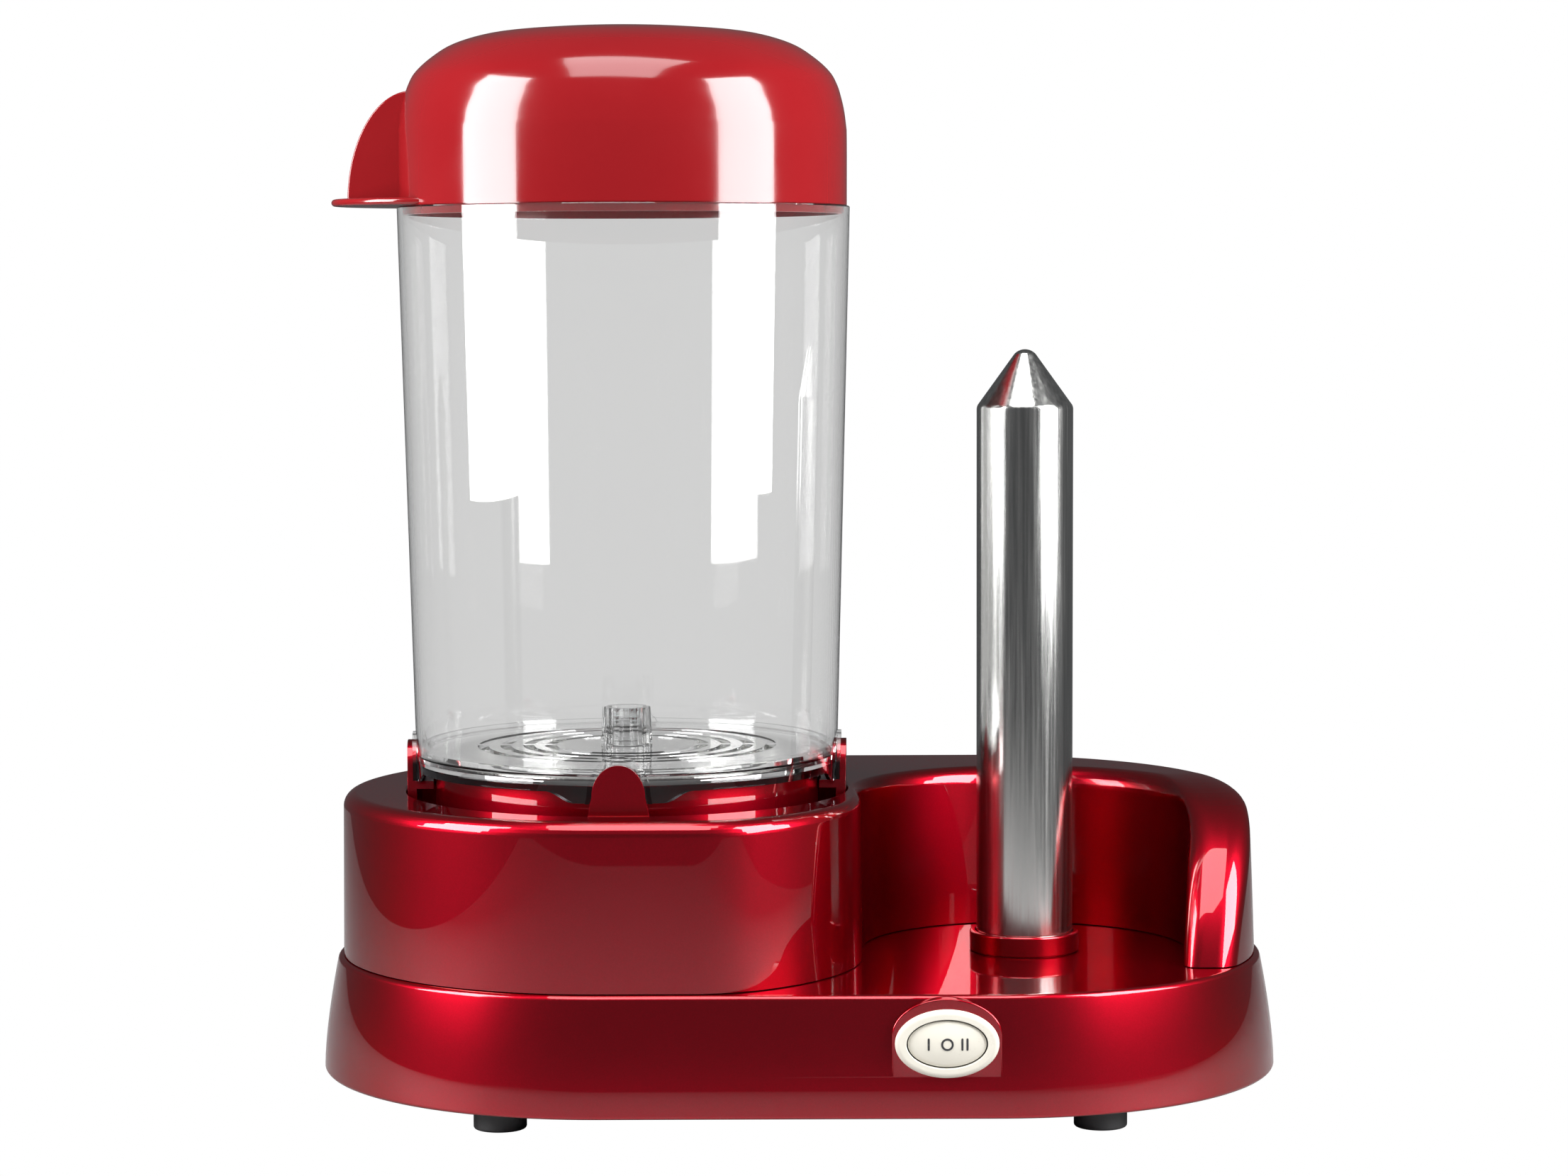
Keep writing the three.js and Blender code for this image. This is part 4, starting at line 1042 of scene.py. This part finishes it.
def make_lid(paint):
    shell = lid_shell()
    core_r = LID_R - LID_WALL / 2
    core = dome(core_r, LID_TOP - LID_FOOT - LID_WALL / 2)
    core += [(0, LID_FOOT - OVERRUN), (core_r, LID_FOOT - OVERRUN)]
    # The core keeps the dome's inside free of the plate and the fin
    handle = cut(joined(thumb_plate(), upright_fin()), turned("core", core, FINE_TURN))
    joined(shell, handle)
    dressed(smooth(moved(shell, DRUM_X)), "lid_dome", paint, "lid_red", "lid", "lid")


# Pan, spike and switch


def make_pan(paint):
    floor = low("water_pan").z
    rim = high("water_pan").z - PAN_SHEET
    knee = PAN_FLOOR_R - PAN_KNEE
    bowl = []
    for rise, short in quarter_round(SOFT_STEPS):
        bowl.append((PAN_R - (PAN_R - knee) * short, floor + PAN_CORNER * rise))
    bowl.append((PAN_R, rim))
    inner = [(radius - PAN_SHEET, height + PAN_SHEET) for radius, height in bowl]
    profile = [(0, floor)] + bowl + [(PAN_RIM_R, rim), (PAN_RIM_R, rim + PAN_SHEET)]
    profile += inner[::-1] + [(0, floor + PAN_SHEET)]
    pan = smooth(moved(turned("pan", profile), DRUM_X))
    dressed(pan, "water_pan_bowl", paint, "polished_steel", "base", "water_pan")


def make_spike(paint):
    slope = math.atan2(SPIKE_TIP - SPIKE_SHOULDER, SPIKE_R)
    tip = arc(0, SPIKE_TIP - SPIKE_TIP_R, SPIKE_TIP_R, QUARTER - slope, QUARTER, 12)
    foot = low("spike_tube").z
    shoulder_x = SPIKE_R - SPIKE_SHOULDER_R
    shoulder_z = SPIKE_SHOULDER - SPIKE_SHOULDER_R / 2
    shoulder = arc(shoulder_x, shoulder_z, SPIKE_SHOULDER_R, 0, QUARTER - slope, SOFT_STEPS)
    bore = SPIKE_R - SPIKE_WALL
    profile = [
        (bore, foot),
        (SPIKE_R + SPIKE_FLANGE, foot),
        (SPIKE_R + SPIKE_FLANGE, foot + SPIKE_FLANGE_THICK),
        (SPIKE_R, foot + SPIKE_FLANGE_THICK),
    ]
    profile += shoulder + tip[:-1]
    profile += [(0, SPIKE_TIP), (0, SPIKE_TIP - 2 * SPIKE_WALL)]
    profile.append((bore, SPIKE_SHOULDER - SPIKE_WALL))
    tube = smooth(moved(turned("spike", profile, 160), SPIKE_X, SPIKE_Y))
    dressed(tube, "spike_rod", paint, "polished_steel", "base", "spike_tube")


def make_collar(paint):
    foot = low("spike_collar").z
    inner = SPIKE_R + GAP
    edge = arc(COLLAR_R - COLLAR_EDGE, COLLAR_TOP - COLLAR_EDGE, COLLAR_EDGE, 0, QUARTER, 5)
    profile = [
        (inner, foot),
        (inner + COLLAR_SPIGOT, foot),
        (inner + COLLAR_SPIGOT, DECK + GAP),
        (COLLAR_R - COLLAR_FOOT_EDGE, DECK + GAP),
        (COLLAR_R, DECK + GAP + COLLAR_FOOT_EDGE),
    ]
    profile += edge
    profile += [(inner + COLLAR_BORE_EDGE, COLLAR_TOP), (inner, COLLAR_TOP - COLLAR_BORE_EDGE)]
    ring = smooth(moved(turned("collar", profile), SPIKE_X, SPIKE_Y))
    dressed(ring, "spike_collar_ring", paint, "candy_red", "base", "spike_collar")


def forward(obj):
    """From a switch piece's own frame, facing up, to its place on the pad."""
    return moved(spun(obj, 90, "X"), SWITCH_X, -PAD_FRONT, SWITCH_Z)


def make_bezel(paint):
    outline = ellipse(BEZEL_A, BEZEL_B)
    levels = [(GAP, outline)]
    for inwards, down in quarter_round(SOFT_STEPS):
        level = BEZEL_FACE - BEZEL_THICK * BEZEL_ROUND_SHARE * down
        levels.append((level, inset(outline, BEZEL_ROUND * inwards)))
    bezel = loft("bezel", levels)
    opening = ellipse(ROCKER_A + ROCKER_GAP, ROCKER_B + ROCKER_GAP)
    cut(bezel, prism("opening", opening, GAP - OVERRUN, BEZEL_FACE + OVERRUN))
    bezel = smooth(forward(rounded(bezel, BEZEL_EDGE)))
    dressed(bezel, "bezel_oval", paint, "ivory_plastic", "base", "switch_bezel")


def rocker_dome(x, y):
    """The height of the rocker's face at a place on it."""
    reach = min((x / ROCKER_A) ** 2 + (y / ROCKER_B) ** 2, 1)
    return ROCKER_RIM + ROCKER_DOME * (1 - reach)


def make_rocker(paint):
    levels = [
        (ROCKER_RIM - ROCKER_DEPTH, ellipse(ROCKER_A - ROCKER_TAPER, ROCKER_B - GAP)),
        (ROCKER_RIM - ROCKER_EDGE, ellipse(ROCKER_A, ROCKER_B)),
    ]
    for i in range(1, ROCKER_RINGS):
        share = 1 - i / ROCKER_RINGS
        outline = ellipse(ROCKER_A * share, ROCKER_B * share)
        levels.append((rocker_dome(ROCKER_A * share, 0), outline))
    rocker = loft("rocker", levels)
    pin = circle(0, -PIN_DEPTH, PIN_R + GAP, 24)
    cut(rocker, spun(prism("bore", pin, -BORE_HALF, BORE_HALF), 90, "X"))
    rocker = smooth(forward(rocker))
    dressed(rocker, "rocker_cap", paint, "ivory_plastic", "rocker", "switch_rocker")


def mark_prism(name, outline):
    """A printed mark that follows the rocker's dome."""
    count = len(outline)
    points = [(x, y, rocker_dome(x, y) - STROKE_PROUD) for x, y in outline]
    points += [(x, y, rocker_dome(x, y) + STROKE_PROUD) for x, y in outline]
    faces = [tuple(reversed(range(count))), tuple(range(count, 2 * count))]
    faces += [(i, (i + 1) % count, (i + 1) % count + count, i + count) for i in range(count)]
    return mesh_of(name, points, faces)


def make_strokes(paint):
    """The strokes of I and II on the rocker."""
    for name, x in STROKES:
        outline = []
        # Each half is a round end and one long side
        for sign in (-1, 1):
            centre = sign * (MARK_HALF - STROKE_HALF)
            start = math.pi if sign < 0 else 0
            outline += arc(x, centre, STROKE_HALF, start, start + math.pi, 8)
            outline += [(x - sign * STROKE_HALF, centre * (1 - i / 4)) for i in range(1, 8)]
        stroke = forward(mark_prism(name, outline))
        dressed(stroke, name, paint, "black_plastic", "rocker")


def make_zero(paint):
    """The O on the rocker, a ring that ends just above the dome."""
    outer = circle(0, 0, MARK_HALF, 48)
    inner = circle(0, 0, ZERO_BORE, 48)
    ring = cut(
        prism("ring", outer, ROCKER_RIM, ROCKER_RIM + ROCKER_DOME + ZERO_PROUD),
        prism("ring_inside", inner, ROCKER_RIM - OVERRUN, ROCKER_RIM + OVERRUN),
    )
    dressed(smooth(forward(ring)), "mark_zero", paint, "black_plastic", "rocker")


def make_feet(paint):
    for node in ("foot_front_left", "foot_front_right", "foot_rear_left", "foot_rear_right"):
        lowest, highest = low(node), high(node)
        radius = (highest.x - lowest.x) / 2
        top = FOOT_TOP + FOOT_HEAD
        ring = radius - FOOT_RING
        profile = [(0, FOOT_HOLLOW), (ring - FOOT_HOLLOW, FOOT_HOLLOW), (ring, 0)]
        profile += arc(radius - FOOT_EDGE, FOOT_EDGE, FOOT_EDGE, -QUARTER, 0, 5)
        profile += [(radius, top), (FOOT_SPIGOT_R, top)]
        profile += [(FOOT_SPIGOT_R, highest.z), (0, highest.z)]
        foot = turned("foot", profile, 64)
        x, y, _ = middle(node)
        moved(foot, x, y)
        dressed(smooth(foot), node + "_pad", paint, "grey_rubber", "base", node)


def paint_nodes(paints):
    """The pieces that keep their CAD shape."""
    for node, paint in paints.items():
        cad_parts[node].data.materials.clear()
        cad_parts[node].data.materials.append(paint)


# Studio

AMBIENT = 0.1
SEEN_THROUGH = 0.7
PALE_TO = 0.3
DIM_FROM = 0.6
WHITE = grey(1)
FLOOR_GREY = 0.33
LENS = 88.4
CAMERA_PLACE = (-4.35, -1208.4, 251.5)
CAMERA_TILT = 4.49
CAMERA_ROLL = 0.2
BOX_HEIGHT = 415
# Each lamp's name, place, aim, width, height and power
LAMPS = (
    ("left_box", (-508, -208, BOX_HEIGHT), (DRUM_X, 0, BOX_HEIGHT), 280, 540, 8),
    ("right_box", (413, -228, BOX_HEIGHT), (DRUM_X, 0, BOX_HEIGHT), 295, 540, 8.3),
    ("top_box", (DRUM_X, -420, 1250), (0, 0, 150), 760, 900, 12),
)


def floor_paint():
    """White to the camera, pale through clear plastic, grey to the light."""
    paint = Paint("floor", Roughness=0.6, Base_Color=grey(FLOOR_GREY))
    shade = Value(paint, paint.surface.outputs[0])
    for strength, kind in ((SEEN_THROUGH, "Is Transmission Ray"), (1.0, "Is Camera Ray")):
        glow = paint.add("ShaderNodeEmission", None, {"Strength": strength})
        shade = paint.shaded(paint.ray(kind), shade, glow)
    paint.feed(paint.tree.nodes["Material Output"].inputs["Surface"], shade)
    return paint.material


def make_floor():
    left, right, front, rear = -500, 500, -700, 700
    corners = [(left, front, 0), (right, front, 0), (right, rear, 0), (left, rear, 0)]
    floor = mesh_of("floor", corners, [(0, 1, 2, 3)])
    floor.data.materials.append(floor_paint())


def make_world():
    """A dim studio: white to the camera, pale through clear plastic but for its top and bottom."""
    world = bpy.data.worlds.new("studio")
    bpy.context.scene.world = world
    world.use_nodes = True
    world.node_tree.nodes.clear()
    sky = Nodes(world.node_tree)
    spot = sky.add("ShaderNodeTexCoord", output="Generated")
    steep = sky.math("ABSOLUTE", sky.add("ShaderNodeSeparateXYZ", None, {0: spot}, "Z"))
    pale = sky.ranged(steep, PALE_TO, DIM_FROM, SEEN_THROUGH, AMBIENT)
    dim = {"Color": (0.9, 0.92, 0.95, 1), "Strength": AMBIENT}
    shade = sky.add("ShaderNodeBackground", None, dim)
    for strength, kind in ((pale, "Is Transmission Ray"), (1.0, "Is Camera Ray")):
        glow = sky.add("ShaderNodeBackground", None, {"Color": WHITE, "Strength": strength})
        shade = sky.shaded(sky.ray(kind), shade, glow)
    output = sky.tree.nodes.new("ShaderNodeOutputWorld")
    sky.feed(output.inputs["Surface"], shade)


def softbox(name, place, aim, width, height, power):
    """A rectangular area lamp at a place, facing another."""
    lamp = bpy.data.lights.new(name, "AREA")
    lamp.shape = "RECTANGLE"
    lamp.size = width * MM
    lamp.size_y = height * MM
    lamp.energy = power
    obj = bpy.data.objects.new(name, lamp)
    bpy.context.scene.collection.objects.link(obj)
    obj.location = Vector(place) * MM
    obj.rotation_euler = (Vector(aim) - Vector(place)).to_track_quat("-Z", "Y").to_euler()


def make_camera():
    camera = bpy.data.cameras.new("photo_view")
    camera.sensor_width = 36
    camera.lens = LENS
    camera.clip_start = 0.05
    obj = bpy.data.objects.new("photo_view", camera)
    bpy.context.scene.collection.objects.link(obj)
    obj.location = Vector(CAMERA_PLACE) * MM
    pitch = Matrix.Rotation(math.radians(90 - CAMERA_TILT), 4, "X")
    roll = Matrix.Rotation(math.radians(-CAMERA_ROLL), 4, "Z")
    obj.rotation_euler = (pitch @ roll).to_euler()
    bpy.context.scene.camera = obj


def make_studio():
    make_camera()
    make_world()
    make_floor()
    for lamp in LAMPS:
        softbox(*lamp)
    bpy.context.scene.view_settings.view_transform = "Standard"


# The whole machine

candy = candy_lacquer()
steel = polished_steel()
# The container's plastic is painted with shade below the skirt's top
clear = clear_plastic("container_plastic", (0.975, 0.975, 0.973, 1), 0.008, SKIRT_TOP)
clear_tray = clear_plastic("tray_plastic", (0.985, 0.988, 0.988, 1), 0.02)
ivory_dark = (0.6, 0.575, 0.5, 1)
ivory_light = (0.66, 0.635, 0.56, 1)
ivory = moulded_plastic("ivory_plastic", ivory_dark, ivory_light, 0.25, 0.03)
rubber = moulded_plastic("grey_rubber", grey(0.02, 0.001), grey(0.035, 0.002), 0.55, 0.2)
black = moulded_plastic("black_plastic", grey(0.012, 0.001), grey(0.02, 0.001), 0.4, 0.1)
chalk = moulded_plastic("ceramic", (0.6, 0.58, 0.52, 1), (0.7, 0.68, 0.62, 1), 0.6, 0.15)
zinc = plain_metal("zinc_steel", (0.45, 0.46, 0.47, 1), (0.6, 0.61, 0.62, 1), 0.35)
cast = plain_metal("cast_aluminium", (0.5, 0.51, 0.52, 1), (0.68, 0.69, 0.7, 1), 0.45)
ink = moulded_plastic("mark_ink", grey(0.02, 0.002), grey(0.03, 0.002), 0.5, 0.02)

make_studio()
make_plinth(candy)
make_housing(candy)
make_clips(candy)
make_container(clear)
make_tray(clear_tray)
make_lid(lid_plastic())
make_pan(steel)
make_spike(steel)
make_collar(candy)
make_bezel(ivory)
make_rocker(ivory)
make_strokes(ink)
make_zero(ink)
make_feet(rubber)
paint_nodes(
    {
        "base_plate": black,
        "pan_seal": rubber,
        "heater_plate": cast,
        "heater_strap": zinc,
        "thermostat": black,
        "thermal_fuse": chalk,
        "spike_heater": chalk,
        "spike_bracket": zinc,
        "switch_pin": zinc,
        "switch_body": black,
        "cord_gland": black,
        "terminal_block": chalk,
    }
)
